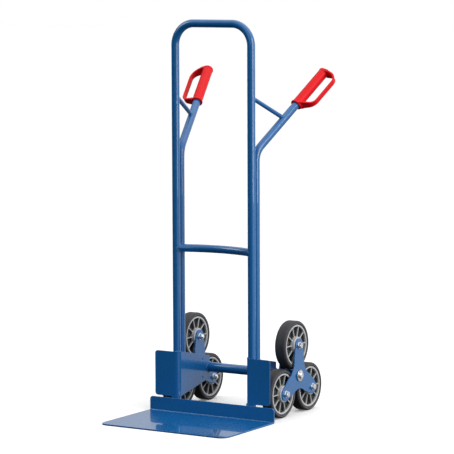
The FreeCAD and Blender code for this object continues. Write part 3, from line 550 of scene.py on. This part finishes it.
def to_skin(point_at, offset_at, inside, outside, tube):
    """How far along a line its offset skin leaves another tube: (point, direction, radius)."""
    point, direction, radius = tube
    for _ in range(40):
        middle = (inside + outside) / 2
        reach = point_at(middle) + offset_at(middle) - point
        if (reach - direction * reach.dot(direction)).length < radius:
            inside = middle
        else:
            outside = middle
    return outside


def coped(point_at, offset_at, first, last, rows, count=48, sunk=0.6 * mm):
    """A bar between two tubes, its ends cut to their skins and sunk a little into them, and the
    two lines where the skins meet. point_at(t) runs from 0 to 1."""
    rings, seams = [[] for _ in range(rows + 1)], ([], [])
    for angle in full_turn(count):

        def offset(t):
            return offset_at(t, angle)

        for seam, (inside, tube) in zip(seams, ((0.0, first), (1.0, last))):
            meet = to_skin(point_at, offset, inside, 0.5, tube)
            seam.append(point_at(meet) + offset(meet))
        start, end = (
            to_skin(point_at, offset, inside, 0.5, (tube[0], tube[1], tube[2] - sunk))
            for inside, tube in ((0.0, first), (1.0, last))
        )
        for row, ring in enumerate(rings):
            t = start + (end - start) * row / rows
            ring.append(point_at(t) + offset(t))
    return loft(rings), seams


def cross_bar():
    radius = LEG_X**2 / 2 / BAR_BOW + BAR_BOW / 2
    half = math.asin(LEG_X / radius)

    def point_at(t):
        angle = (2 * t - 1) * half
        y = LEG_Y + BAR_BOW - radius * (1 - math.cos(angle))
        return Vector((radius * math.sin(angle), y, BAR_Z))

    def offset_at(t, angle):
        turn = (2 * t - 1) * half
        out = Vector((math.sin(turn), math.cos(turn), 0))
        return (out * math.cos(angle) + UP * math.sin(angle)) * TUBE_R

    legs = [(Vector((x, LEG_Y, 0)), UP, TUBE_R) for x in (-LEG_X, LEG_X)]
    bar, seams = coped(point_at, offset_at, *legs, rows=48, count=64)
    piece("bowed_bar", bar, BLUE, "frame", ["cross_bar"])
    return seams


def strut(side, sign):
    knee, along, _ = handle_line(sign)
    leg = Vector((sign * LEG_X, LEG_Y, STRUT_Z))
    meeting = knee + along * STRUT_REACH
    direction = (meeting - leg).normalized()
    across = direction.orthogonal().normalized()
    other = direction.cross(across)

    def point_at(t):
        return leg.lerp(meeting, t)

    def offset_at(_, angle):
        return (across * math.cos(angle) + other * math.sin(angle)) * STRUT_R

    ends = (leg, UP, TUBE_R), (meeting, along, TUBE_R)
    rod, seams = coped(point_at, offset_at, *ends, rows=4, count=32)
    piece(f"{side}_brace", rod, BLUE, "frame", [f"{side}_handle_strut"])
    return seams


def plugs():
    """Plastic feet in the lower ends of the legs and handle tubes."""
    for name, y, bottom in (
        ("leg_end_plugs", LEG_Y, LEG_BOTTOM),
        ("handle_end_plugs", LEG_Y + HANDLE_GAP, HANDLE_BOTTOM),
    ):
        cap_r = 0.5 * mm
        corners = flat(
            (cap_r, -PLUG_LIP), (TUBE_R, -PLUG_LIP), (TUBE_R, -FIT), (PLUG_R, -FIT),
            (PLUG_R, PLUG_DEPTH), (cap_r, PLUG_DEPTH),
        )
        line = rounded(corners, [0, 1.2 * mm, 0.3 * mm, 0, 0, 0])
        foot = lathe([(p.y, p.x) for p in line], count=64)
        feet = [
            placed(foot, lambda p, x=x: UPRIGHT @ p + Vector((x, y, bottom)))
            for x in (-LEG_X, LEG_X)
        ]
        piece(name.replace("end_plugs", "feet"), merged(*feet), BLACK, "frame", [name])


# ---- sheet metal ----


def bracket(side, sign):
    """The folded bracket, made flat and then bent round its leg."""
    inner = TUBE_R + FIT
    flange = BRACKET_EDGE - LEG_X
    bend = (inner + BRACKET_SHEET / 2) * math.pi / 2
    side_start = flange + bend
    rear = side_start + BRACKET_DEPTH
    notch_r = AXLE_TUBE_R + FIT
    gap = BRACKET_DEPTH - AXLE_BEHIND
    swing = math.degrees(math.acos(gap / notch_r))
    notch = arc(side_start + AXLE_BEHIND, AXLE_Z, notch_r, -swing, swing - 360, 40)
    corners = flat(
        (0, BRACKET_LOW), (side_start, BRACKET_LOW), (rear, AXLE_Z - BRACKET_REAR_HALF),
        (rear, AXLE_Z), (rear, AXLE_Z + BRACKET_REAR_HALF), (side_start, BRACKET_HIGH),
        (0, BRACKET_HIGH),
    )
    line = rounded(corners, [SHEET_CORNER, 0, REAR_CORNER, 0, REAR_CORNER, 0, SHEET_CORNER])
    middle = next(i for i, p in enumerate(line) if (p - corners[3]).length < 1e-9)
    line = line[:middle] + notch + line[middle + 1 :]
    holes = [
        hole(side_start + HOLE_LINE, AXLE_Z + up * HOLE_PITCH / 2, HOLE_R)
        for up in (-1, 1)
    ]
    blank = plate([line, *holes], BRACKET_SHEET)
    steps = 14
    blank = creased(blank, [flange + bend * k / steps for k in range(steps + 1)])

    def bent(point):
        s, z, reach = point.x, point.y, inner + point.z
        if s < flange:
            x, y = BRACKET_EDGE - s, -reach
        elif s < side_start:
            angle = (s - flange) / bend * math.pi / 2
            x, y = LEG_X - reach * math.sin(angle), -reach * math.cos(angle)
        else:
            x, y = LEG_X - reach, s - side_start
        return Vector((x, LEG_Y + y, z))

    top = BRACKET_LOW + TONGUE_LAP
    tongue_corners = flat(
        (LEG_X - inner, TONGUE_LOW), (LEG_X + inner, TONGUE_LOW), (LEG_X + inner, top),
        (LEG_X - inner, top),
    )
    line = rounded(tongue_corners, [TONGUE_CORNER, TONGUE_CORNER, 0, 0])
    tongue = plate([line], BRACKET_SHEET - 2 * TONGUE_GAP)
    tongue = placed(tongue, lambda p: Vector((p.x, LEG_Y - inner - TONGUE_GAP - p.z, p.y)))
    whole = on_side(merged(placed(blank, bent), tongue), sign)
    piece(f"{side}_bracket_sheet", whole, BLUE, "frame", [f"{side}_bracket"])


def toe_plate():
    """The toe plate, made flat and then bent up at its rear."""
    outer = PLATE_SHEET + PLATE_BEND
    deck = PLATE_DEPTH - outer
    bend = (PLATE_BEND + PLATE_SHEET / 2) * math.pi / 2
    wall = deck + bend
    end = wall + PLATE_FLANGE - outer
    half = PLATE_WIDTH / 2
    corners = flat((0, -half), (end, -half), (end, half), (0, half))
    line = rounded(corners, [PLATE_CORNER, SHEET_CORNER, SHEET_CORNER, PLATE_CORNER])
    blank = plate([line], PLATE_SHEET, edge=0.9 * mm)
    steps = 8
    blank = creased(blank, [deck + bend * k / steps for k in range(steps + 1)])

    def bent(point):
        s, reach = point.x, outer - point.z
        if s < deck:
            y, z = s - PLATE_DEPTH, point.z
        elif s < wall:
            angle = (s - deck) / bend * math.pi / 2
            y, z = reach * math.sin(angle) - outer, outer - reach * math.cos(angle)
        else:
            y, z = -point.z, outer + s - wall
        return Vector((-point.y, PLATE_REAR + y, z))

    piece("toe_plate_sheet", placed(blank, bent), BLUE, "frame", ["toe_plate"])


# ---- axle ----


def turned_part(x_low, x_high, outside, inside, edge=0.4 * mm):
    """A ring or tube about X, with rounded edges."""
    corners = flat((x_low, inside), (x_high, inside), (x_high, outside), (x_low, outside))
    return lathe([tuple(p) for p in rounded(corners, edge, step=math.radians(18))], closed=True)


def axle():
    """Axle, its tube, spacers, washers and split pins. All of them belong to the frame."""
    at = (0, AXLE_Y, AXLE_Z)
    tube = turned_part(-AXLE_TUBE_HALF, AXLE_TUBE_HALF, AXLE_TUBE_R, AXLE_TUBE_BORE_R)
    piece("axle_sheath", tube, BLUE, "frame", ["axle_tube"], at)
    end = [
        (AXLE_HALF - CENTRE_DEPTH, 0.2 * mm), (AXLE_HALF, CENTRE_R),
        (AXLE_HALF, AXLE_R - AXLE_CHAMFER), (AXLE_HALF - AXLE_CHAMFER, AXLE_R),
    ]
    profile = end + [(-x, r) for x, r in reversed(end)]
    piece("axle_bar", lathe(profile), ZINC, "frame", ["axle_rod"], at)
    spacer_end = AXLE_TUBE_HALF + SPACER_LENGTH
    spacer = turned_part(AXLE_TUBE_HALF, spacer_end, SPACER_R, AXLE_BORE_R, SPACER_EDGE)
    spacers = merged(*(on_side(spacer, sign) for sign in SIDES.values()))
    piece("axle_spacer_tubes", spacers, WHITE, "frame", ["axle_spacers"], at)
    outer = STAR_OUTER + STAR_SHEET + BUSH_LIP + STAR_FLOAT
    rings = [
        on_side(turned_part(x, x + WASHER_SHEET, WASHER_R, AXLE_BORE_R, WASHER_EDGE), sign)
        for x in (spacer_end, outer)
        for sign in SIDES.values()
    ]
    piece("axle_plain_washers", merged(*rings), ZINC, "frame", ["axle_washers"], at)
    pins = merged(*(on_side(split_pin(), sign) for sign in SIDES.values()))
    piece("axle_cotters", pins, ZINC, "frame", ["axle_split_pins"], at)


def split_pin():
    """A split pin through the axle: an eye above and two legs bent apart below."""
    wire = PIN_R / 2
    eye_r, eye_z = 3.6 * mm, AXLE_R + 4.6 * mm
    bend_z, tip_y, tip_z = -AXLE_R - 1.6 * mm, 5 * mm, -AXLE_R - 5 * mm
    eye = []
    for degrees in range(25, 336, 10):
        a = math.radians(degrees)
        eye.append(Vector((PIN_X, eye_r * math.sin(a), eye_z - eye_r * math.cos(a))))
    corners = [
        Vector((PIN_X, -tip_y, tip_z)), Vector((PIN_X, -wire, bend_z)),
        Vector((PIN_X, -wire, eye_z - eye_r - wire)),
    ]
    leg = rounded(corners, [0, 1.5 * mm, 0], closed=False)
    other = [Vector((p.x, -p.y, p.z)) for p in leg]
    return sweep(other + eye + leg[::-1], wire, ACROSS, 16)


# ---- stars ----


def star_outline():
    """Three arms with rounded ends, joined by hollow arcs, as flat points about the axle."""
    half_step = math.radians(60)
    centre = CROTCH_REACH + CROTCH_R
    hollow_x, hollow_y = centre * math.sin(half_step), centre * math.cos(half_step)
    gap = math.hypot(STAR_R - hollow_y, hollow_x)
    lean = math.atan2(STAR_R - hollow_y, hollow_x)
    tilt = math.degrees(math.acos((LOBE_R + CROTCH_R) / gap) - lean)
    lobe = arc(0, STAR_R, LOBE_R, tilt, 180 - tilt, 24)
    hollow = arc(-hollow_x, hollow_y, CROTCH_R, tilt, -60 - tilt, 20)
    turns = [Matrix.Rotation(math.radians(120 * arm), 2) for arm in range(3)]
    return [turn @ p for turn in turns for p in lobe + hollow]


def star_plate(x):
    """A star plate whose inner face is at x. Flat x, y become Y, Z about the axle."""
    arms = [math.radians(angle) for angle in WHEELS.values()]
    bolt_holes = [hole(STAR_R * math.cos(a), STAR_R * math.sin(a), BOLT_HOLE_R) for a in arms]
    middle = hole(0, 0, BUSH_R + 2 * FIT, 48)
    sheet = plate([star_outline(), middle, *bolt_holes], STAR_SHEET)
    return placed(sheet, lambda p: Vector((x + p.z, p.x, p.y)))


def hexagon(start, end, bore=0.0, collar=0.0):
    """A bolt head or nut along X whose outer end is turned to a shallow cone. A collar is the
    round part that holds a lock nut's insert."""
    turns, flats = full_turn(72), HEAD_FLATS / 2
    way = 1 if end > start else -1
    top_r, cone, face = flats * 0.95, math.tan(math.radians(30)) * way, end - collar * way

    def reach(angle):
        return flats / math.cos(angle % (math.pi / 3) - math.pi / 6)

    def plain(x, r):
        return [about_x(x, r, a) for a in turns]

    def bevelled(x, slope):
        return [about_x(x + (reach(a) - top_r) * slope, reach(a), a) for a in turns]

    rings = [plain(start, top_r), bevelled(start, cone / 2), bevelled(face, -cone)]
    rings.append(plain(face, top_r))
    if collar:
        soft = 0.3 * mm * way
        steps = (face, 0.92), (end - 3 * soft, 0.90), (end - soft, 0.86), (end, 0.80)
        rings += [plain(x, top_r * share) for x, share in steps]
    if bore:
        rings += [plain(end, bore), plain(start, bore)]
    return loft(rings, loop=bool(bore))


def bolts(sign):
    """Bolts, lock nuts and washers of the three wheel axles."""
    up = Matrix.Translation((0, 0, STAR_R))
    head_start = STAR_OUTER + STAR_SHEET + WASHER_SHEET
    nut_start = STAR_INNER - WASHER_SHEET
    tail = nut_start - NUT_HEIGHT - BOLT_TAIL
    crest_r, x = BOLT_R - 0.1 * mm, tail + 0.8 * mm
    thread = [(tail, BOLT_R - 2 * THREAD_DEPTH), (x, BOLT_R - 0.3 * mm)]
    while x < nut_start - NUT_HEIGHT + THREAD_PITCH:
        thread += [(x + THREAD_PITCH / 2, BOLT_R - THREAD_DEPTH), (x + THREAD_PITCH, crest_r)]
        x += THREAD_PITCH
    shank = lathe([*thread, (head_start + 1 * mm, crest_r)], count=48)
    bolt = merged(hexagon(head_start, head_start + HEAD_HEIGHT), shank)
    nut = hexagon(nut_start, nut_start - NUT_HEIGHT, BOLT_R + 0.02 * mm, NUT_COLLAR)
    bore = BOLT_R + 0.3 * mm
    washers = merged(*(
        turned_part(x, x + WASHER_SHEET, BOLT_WASHER_R, bore, WASHER_EDGE)
        for x in (nut_start, head_start - WASHER_SHEET)
    ))
    return [
        on_side(merged(*(turned(placed(mesh, up), 120 * arm) for arm in range(3))), sign)
        for mesh in (bolt, nut, washers)
    ]


def star(side, sign):
    body, at = f"{side}_star", (0, AXLE_Y, AXLE_Z)
    for place, x in (("inner", STAR_INNER), ("outer", STAR_OUTER)):
        sheet = on_side(star_plate(x), sign)
        piece(f"{side}_{place}_star_sheet", sheet, BLUE, body, [f"{side}_star_{place}_plate"], at)
    low, high = STAR_INNER + STAR_SHEET, STAR_OUTER
    tube = on_side(turned_part(low, high, HUB_R, BUSH_R + FIT), sign)
    beads = [
        bead([about_x(x, HUB_R, a) for a in full_turn(90)], HUB_BEAD, closed=True)
        for x in (low + 0.6 * mm, high - 0.6 * mm)
    ]
    hub = merged(tube, *(on_side(b, sign) for b in beads))
    piece(f"{side}_star_hub", hub, BLUE, body, [f"{side}_star_hub_tube"], at)
    bolt, nut, washer = bolts(sign)
    piece(f"{side}_hex_bolts", bolt, ZINC, body, [f"{side}_wheel_bolts"], at)
    piece(f"{side}_lock_nuts", nut, ZINC, body, [f"{side}_wheel_nuts"], at)
    piece(f"{side}_plain_washers", washer, ZINC, body, [f"{side}_bolt_washers"], at)


# ---- wheels ----


def tyre_mesh():
    """A solid tyre: soft shoulders, and a shallow recess and bead round each side."""
    foot, bead_r, dip = 67.3 * mm, 72.6 * mm, 0.9 * mm
    half = flat(
        (TYRE_HALF - 2.6 * mm, RIM_R), (TYRE_HALF - dip, foot + 1.2 * mm),
        (TYRE_HALF - dip, bead_r - 1.0 * mm), (TYRE_HALF, bead_r),
        (TYRE_HALF, TREAD_R - TYRE_SHOULDER),
    )
    shoulder = arc(TYRE_HALF - TYRE_SHOULDER, TREAD_R - TYRE_SHOULDER, TYRE_SHOULDER, 0, 90, 12)
    side = rounded(half, [0, 0.6 * mm, 0.35 * mm, 0.35 * mm, 0], closed=False)[:-1] + shoulder
    return lathe([tuple(p) for p in mirrored(side)], closed=True, count=128)


def rim_object():
    """The moulded rim: ring, web and hub turned in one, with ribs that flare into both."""
    half = flat(
        (BOSS_HALF, BEARING_R), (BOSS_HALF, BOSS_R), (WEB_HALF, BOSS_R + 0.8 * mm),
        (WEB_HALF, RIM_INSIDE - 0.4 * mm), (RIM_HALF, RIM_INSIDE), (RIM_HALF, RIM_R),
    )
    radii = [0.8 * mm, 1.6 * mm, 3 * mm, 3 * mm, 1.0 * mm, 0.6 * mm]
    line = rounded(mirrored(half), radii + radii[::-1], step=math.radians(18))
    rim = make_object("rim_body", lathe([tuple(p) for p in line], closed=True, count=120))
    thin, flare = RIB_SHEET / 2, 3.2 * mm
    low, high = BOSS_R - 1 * mm, RIM_INSIDE + 1 * mm
    corners = flat(
        (low, -thin - flare), (BOSS_R + flare, -thin), (RIM_INSIDE - flare, -thin),
        (high, -thin - flare), (high, thin + flare), (RIM_INSIDE - flare, thin),
        (BOSS_R + flare, thin), (low, thin + flare),
    )
    soft = 4 * mm
    rib_line = rounded(corners, [0, soft, soft, 0, 0, soft, soft, 0])
    rib = plate([rib_line], 2 * RIB_HALF, edge=0.7 * mm)
    rib = placed(rib, lambda p: Vector((p.z - RIB_HALF, p.x, p.y)))
    ribs = make_object("rim_ribs", merged(*(turned(rib, 360 * k / RIBS) for k in range(RIBS))))
    union = rim.modifiers.new("ribs", "BOOLEAN")
    union.operation, union.solver, union.object = "UNION", "EXACT", ribs
    apply_modifiers(rim)
    bpy.data.objects.remove(ribs)
    bm = bmesh.new()
    bm.from_mesh(rim.data)
    shade(bm, rim.data)
    return rim


def wheels():
    tyre = make_object("tyre_master", tyre_mesh())
    rim = rim_object()
    for side in SIDES:
        for place in WHEELS:
            body = f"{side}_{place}_wheel"
            at = ANCHORS[f"{body}_spin"]
            for name, master, material, node in (
                ("solid_tyre", tyre, TYRE, "tyre"), ("ribbed_rim", rim, RIM, "rim"),
            ):
                copy = bpy.data.objects.new(f"{side}_{place}_{name}", master.data.copy())
                bpy.context.scene.collection.objects.link(copy)
                piece(copy.name, copy, material, body, [f"{side}_{place}_{node}"], at)
    bpy.data.objects.remove(tyre)
    bpy.data.objects.remove(rim)


# ---- grips ----


def grip(side, sign):
    """The safety grip: a sleeve and a D-shaped strap guard, moulded in one."""
    knee, along, outward = handle_line(sign)
    thing = make_object(f"{side}_safety_grip", merged(grip_sleeve(), grip_guard()))
    remesh = thing.modifiers.new("remesh", "REMESH")
    remesh.mode, remesh.voxel_size = "VOXEL", 0.62 * mm
    smooth = thing.modifiers.new("smooth", "SMOOTH")
    smooth.factor, smooth.iterations = 0.5, 8
    apply_modifiers(thing)
    fewer = thing.modifiers.new("fewer", "DECIMATE")
    fewer.ratio = 0.25
    apply_modifiers(thing)
    turn = Matrix((outward, along.cross(outward), along)).transposed().to_4x4()
    thing.data.transform(Matrix.Translation(knee + along * GRIP_START) @ turn)
    thing.data.shade_smooth()
    piece(thing.name, thing, RED, "frame", [f"{side}_grip"])


def grip_sleeve():
    """The sleeve along Z: a bore for the tube, a collar below and a low brim above."""
    inside, depth = TUBE_R + FIT, HANDLE_REACH - GRIP_START + 0.5 * mm
    corners = flat(
        (SLIVER, GRIP_LENGTH), (BRIM_R, GRIP_LENGTH), (BRIM_R, GRIP_LENGTH - BRIM_WIDTH),
        (GRIP_R, GRIP_LENGTH - BRIM_WIDTH - 1.5 * mm), (GRIP_R, COLLAR_WIDTH + 1 * mm),
        (COLLAR_R, COLLAR_WIDTH), (COLLAR_R, 0), (inside, 0), (inside, depth), (SLIVER, depth),
    )
    soft = 0.8 * mm
    line = rounded(corners, [0, 3 * mm, soft, soft, soft, soft, 1.5 * mm, 0.5 * mm, 0, 0])
    return placed(lathe([(p.y, p.x) for p in line]), UPRIGHT)


def grip_guard():
    """The strap guard in the XZ plane. It is wide at the sleeve and narrow along its bar."""
    half = GUARD_BAR / 2
    span = GUARD_OFFSET + half - GUARD_START
    share = (GUARD_OFFSET - GUARD_START) / span
    middle = [
        Vector((GUARD_START, 0, half)),
        Vector((GUARD_OFFSET, 0, half + GUARD_LOW_LEAN * share)),
        Vector((GUARD_OFFSET, 0, GRIP_LENGTH - half - GUARD_HIGH_LEAN * share)),
        Vector((-GUARD_START, 0, GRIP_LENGTH - half)),
    ]
    bends = [0, GUARD_BEND, GUARD_TOP_BEND, 0]
    path = rounded(middle, bends, closed=False, step=math.radians(4))
    dense = []
    for start, end in zip(path, path[1:]):
        steps = max(1, round((end - start).length / (3 * mm)))
        dense += [start.lerp(end, k / steps) for k in range(steps)]
    dense.append(path[-1])
    rings = []
    for i, point in enumerate(dense):
        tangent = (dense[min(i + 1, len(dense) - 1)] - dense[max(i - 1, 0)]).normalized()
        out = Vector((-tangent.z, 0, tangent.x))
        reach = (point.x - GRIP_R) / (GUARD_OFFSET + half - GRIP_R)
        root = GUARD_ROOT_WIDTH + (GUARD_TOP_EXTRA if i > len(dense) / 2 else 0)
        w = (root + (GUARD_BAR_WIDTH - root) * max(0.0, reach)) / 2
        swell = max(0.0, 1 - (point.x - GRIP_R) / (7 * mm)) ** 2 * (point.x > 0)
        t = min(GUARD_THICK + 5 * mm * swell, GUARD_THICKEST) / 2
        lip, floor = w - GUARD_BORDER, t - GUARD_RECESS
        section = flat(
            (-t, -w), (-t, w), (t, w), (t, lip), (floor, lip - GUARD_RECESS),
            (floor, -lip + GUARD_RECESS), (t, -lip), (t, -w),
        )
        radii = [1.9 * mm, 1.9 * mm, 1.2 * mm, 0.8 * mm, 0.5 * mm, 0.5 * mm, 0.8 * mm, 1.2 * mm]
        section = rounded(section, radii, step=math.radians(30))
        rings.append([point - out * p.x + Vector((0, p.y, 0)) for p in section])
    return loft(rings)


# ---- welds ----

# Radii of the beads, by what they join.
BAR_BEAD, BRACE_BEAD, AXLE_BEAD, WRAP_BEAD, HUB_BEAD, LEG_BEAD, STITCH_BEAD = (
    radius * mm for radius in (2.0, 1.5, 2.7, 2.5, 1.8, 1.9, 2.0)
)
# Middles of the upright stitches: leg to handle tube, bracket to leg, bracket to handle tube.
LEG_STITCHES = [z * mm for z in (240, 470, 640, 800)]
BRACKET_STITCHES = [z * mm for z in (75, 130, 185)]
HANDLE_STITCHES = [z * mm for z in (95, 165)]
STITCH_HALF, SHORT_STITCH_HALF = 14 * mm, 12 * mm


def bead(points, radius, closed=False):
    """A weld bead along a line: a round string with the ripples that a torch leaves."""
    step, ripple = 0.6 * mm, 2.6 * mm
    source = points + points[:1] if closed else points
    line, travelled = [], 0.0
    for start, end in zip(source, source[1:]):
        length = (end - start).length
        while travelled <= length:
            line.append(start.lerp(end, travelled / length))
            travelled += step
        travelled -= length
    rings, normal = [], None
    for i, point in enumerate(line):
        before = line[i - 1] if i or closed else line[0]
        after = line[(i + 1) % len(line)] if closed or i + 1 < len(line) else line[-1]
        tangent = (after - before).normalized()
        normal = normal or tangent.orthogonal()
        normal = (normal - tangent * normal.dot(tangent)).normalized()
        other = tangent.cross(normal)
        phase = 2 * math.pi * i * step / ripple
        size = radius * (1 + 0.11 * math.sin(phase) + 0.05 * math.sin(phase * 0.37 + 1))
        if not closed:
            ends = min(i, len(line) - 1 - i) * step / radius
            size *= math.sqrt(max(0.04, 1 - max(0.0, 1 - ends) ** 2))
        rings.append([
            point + (normal * math.cos(a) + other * math.sin(a)) * size for a in full_turn(10)
        ])
    return loft(rings, closed)


def upright_bead(x, y, middle, half_length, radius=STITCH_BEAD):
    ends = [Vector((x, y, middle - half_length)), Vector((x, y, middle + half_length))]
    return bead(ends, radius)


def welds(seams):
    """Every weld of the frame, as one piece."""
    tube_inset, wrap_r, gap_half = 5.6 * mm, 14.2 * mm, 4.6 * mm
    foot_middle, foot_half = 29 * mm, 15 * mm
    beads = [bead(seam, BAR_BEAD, closed=True) for seam in seams["bar"]]
    beads += [bead(seam, BRACE_BEAD, closed=True) for seam in seams["struts"]]
    for sign in SIDES.values():
        centre = Vector((sign * (AXLE_TUBE_HALF - tube_inset), AXLE_Y, AXLE_Z))
        ring = [centre + about_x(0, AXLE_TUBE_R, a) for a in full_turn(120)]
        beads.append(bead(ring, AXLE_BEAD, closed=True))
        for z in (BRACKET_HIGH, BRACKET_LOW):
            quarter = arc(LEG_X, LEG_Y, wrap_r, 182, 270, 22)
            beads.append(bead([Vector((sign * p.x, p.y, z)) for p in quarter], WRAP_BEAD))
        behind = LEG_Y + HANDLE_GAP / 2
        for middle in LEG_STITCHES:
            for across in (-1, 1):
                x = sign * LEG_X + across * gap_half
                beads.append(upright_bead(x, behind, middle, STITCH_HALF, LEG_BEAD))
        x, y = sign * (LEG_X + 7 * mm), LEG_Y - TUBE_R + 1 * mm
        beads += [upright_bead(x, y, middle, SHORT_STITCH_HALF) for middle in BRACKET_STITCHES]
        x, y = sign * (LEG_X - TUBE_R + 1 * mm), LEG_Y + HANDLE_GAP + 6.5 * mm
        beads += [upright_bead(x, y, middle, STITCH_HALF) for middle in HANDLE_STITCHES]
        for across in (-1, 1):
            x = sign * LEG_X + across * (TUBE_R + 1 * mm)
            beads.append(upright_bead(x, PLATE_REAR + 0.8 * mm, foot_middle, foot_half))
    piece("frame_welds", merged(*beads), BLUE, "frame")


# ---- what the CAD model already shows ----


def carried_over():
    """CAD nodes that stay as they are, with a finish of their own."""
    finishes = {"star_bushes": BLACK, "wheel_sleeves": ZINC}
    nodes = {f"{side}_{name}": finish for side in SIDES for name, finish in finishes.items()}
    nodes |= {f"{side}_{place}_bearing": BLACK for side in SIDES for place in WHEELS}
    for name, finish in nodes.items():
        thing = frame["nodes"][name]
        thing.data.materials.clear()
        thing.data.materials.append(finish)


# ---- stage ----


def softbox(name, place, target, size, power):
    data = bpy.data.lights.new(name, "AREA")
    data.shape, data.size, data.size_y, data.energy = "RECTANGLE", size[0], size[1], power
    lamp = bpy.data.objects.new(name, data)
    lamp.location = place
    lamp.rotation_mode = "QUATERNION"
    lamp.rotation_quaternion = (target - Vector(place)).to_track_quat("-Z", "Y")
    bpy.context.scene.collection.objects.link(lamp)


def pale_floor():
    """A wide floor that stays white in the picture and adds no light of its own to the truck."""
    half = 40
    corners = [Vector((x, y, 0)) for x, y in ((-half, -half), (half, -half), (half, half))]
    corners.append(Vector((-half, half, 0)))
    floor = make_object("floor", (corners, [(0, 1, 2, 3)]))
    material, tree, shader, coords = new_material("studio_floor", Roughness=0.9)
    pale = between(tree, noise(tree, coords, 3, 2), (0.90, 0.90, 0.90), (0.93, 0.93, 0.93))
    feed(tree, pale, shader, "Base Color")
    floor.data.materials.append(material)
    shader.inputs["Emission Color"].default_value = (1, 1, 1, 1)
    shader.inputs["Emission Strength"].default_value = 0.16
    floor.visible_glossy = floor.visible_diffuse = floor.visible_shadow = False


def studio_light():
    """A bright backdrop behind and to the right, soft light from above, and three softboxes."""
    world = bpy.data.worlds.new("studio")
    bpy.context.scene.world = world
    world.use_nodes = True
    tree = world.node_tree
    tree.nodes.clear()
    direction = add(tree, "TexCoord").outputs["Generated"]
    backdrop = Vector((0.62, 0.78, 0.0)).normalized()
    towards = add(tree, "VectorMath", {0: direction, 1: backdrop}, operation="DOT_PRODUCT")
    around = spread(tree, towards.outputs["Value"], 0.05, 0.72, -0.35, 0.50)
    height = add(tree, "SeparateXYZ", {0: direction}).outputs["Z"]
    overhead = spread(tree, height, 0.0, 1.1, 0.30, 1.0)
    below = spread(tree, height, 0.18, 1.0, -0.45, -0.12)
    strength = maths(tree, "ADD", maths(tree, "MULTIPLY", around, below), overhead)
    white = (1, 1, 1, 1)
    light = add(tree, "Background", {"Color": white, "Strength": strength}).outputs[0]
    seen = add(tree, "Background", {"Color": white, "Strength": 1.0}).outputs[0]
    eye = add(tree, "LightPath").outputs["Is Camera Ray"]
    shown = add(tree, "MixShader", {0: eye, 1: light, 2: seen}).outputs[0]
    add(tree, "OutputWorld", {"Surface": shown})

    middle = Vector((0, 0, TOP_Z * 0.45))
    softbox("side_box", (3.4, -0.4, 1.6), middle, (1.8, 2.6), 60)
    softbox("front_box", (0.8, -4.8, 2.4), middle, (2.4, 2.4), 16)
    softbox("left_box", (-3.4, -1.8, 3.2), middle, (2.2, 2.2), 44)
    bpy.context.scene.view_settings.view_transform = "Standard"


def camera():
    """The camera, at the height and bearing from which the truck is shown."""
    place = Vector((4.3129, LEG_Y - 6.83846, 1.48791))
    azimuth, pitch, roll = (math.radians(a) for a in (31.93, 6.09, -0.22))
    right = Vector((math.cos(azimuth), math.sin(azimuth), 0))
    level = UP.cross(right)
    forward = level * math.cos(pitch) - UP * math.sin(pitch)
    up = right.cross(forward)
    x_axis = right * math.cos(roll) + up * math.sin(roll)
    y_axis = up * math.cos(roll) - right * math.sin(roll)
    data = bpy.data.cameras.new("camera")
    data.sensor_width, data.lens = 36, 197.69
    data.clip_start, data.clip_end = 0.1, 200
    thing = bpy.data.objects.new("camera", data)
    turn = Matrix((x_axis, y_axis, -forward)).transposed()
    thing.matrix_world = Matrix.Translation(place) @ turn.to_4x4()
    bpy.context.scene.collection.objects.link(thing)
    bpy.context.scene.camera = thing


def main():
    camera()
    pale_floor()
    studio_light()
    hoop()
    toe_plate()
    plugs()
    axle()
    seams = {"bar": cross_bar(), "struts": []}
    for side, sign in SIDES.items():
        handle_tube(side, sign)
        seams["struts"] += strut(side, sign)
        bracket(side, sign)
        grip(side, sign)
        star(side, sign)
    wheels()
    welds(seams)
    carried_over()


main()
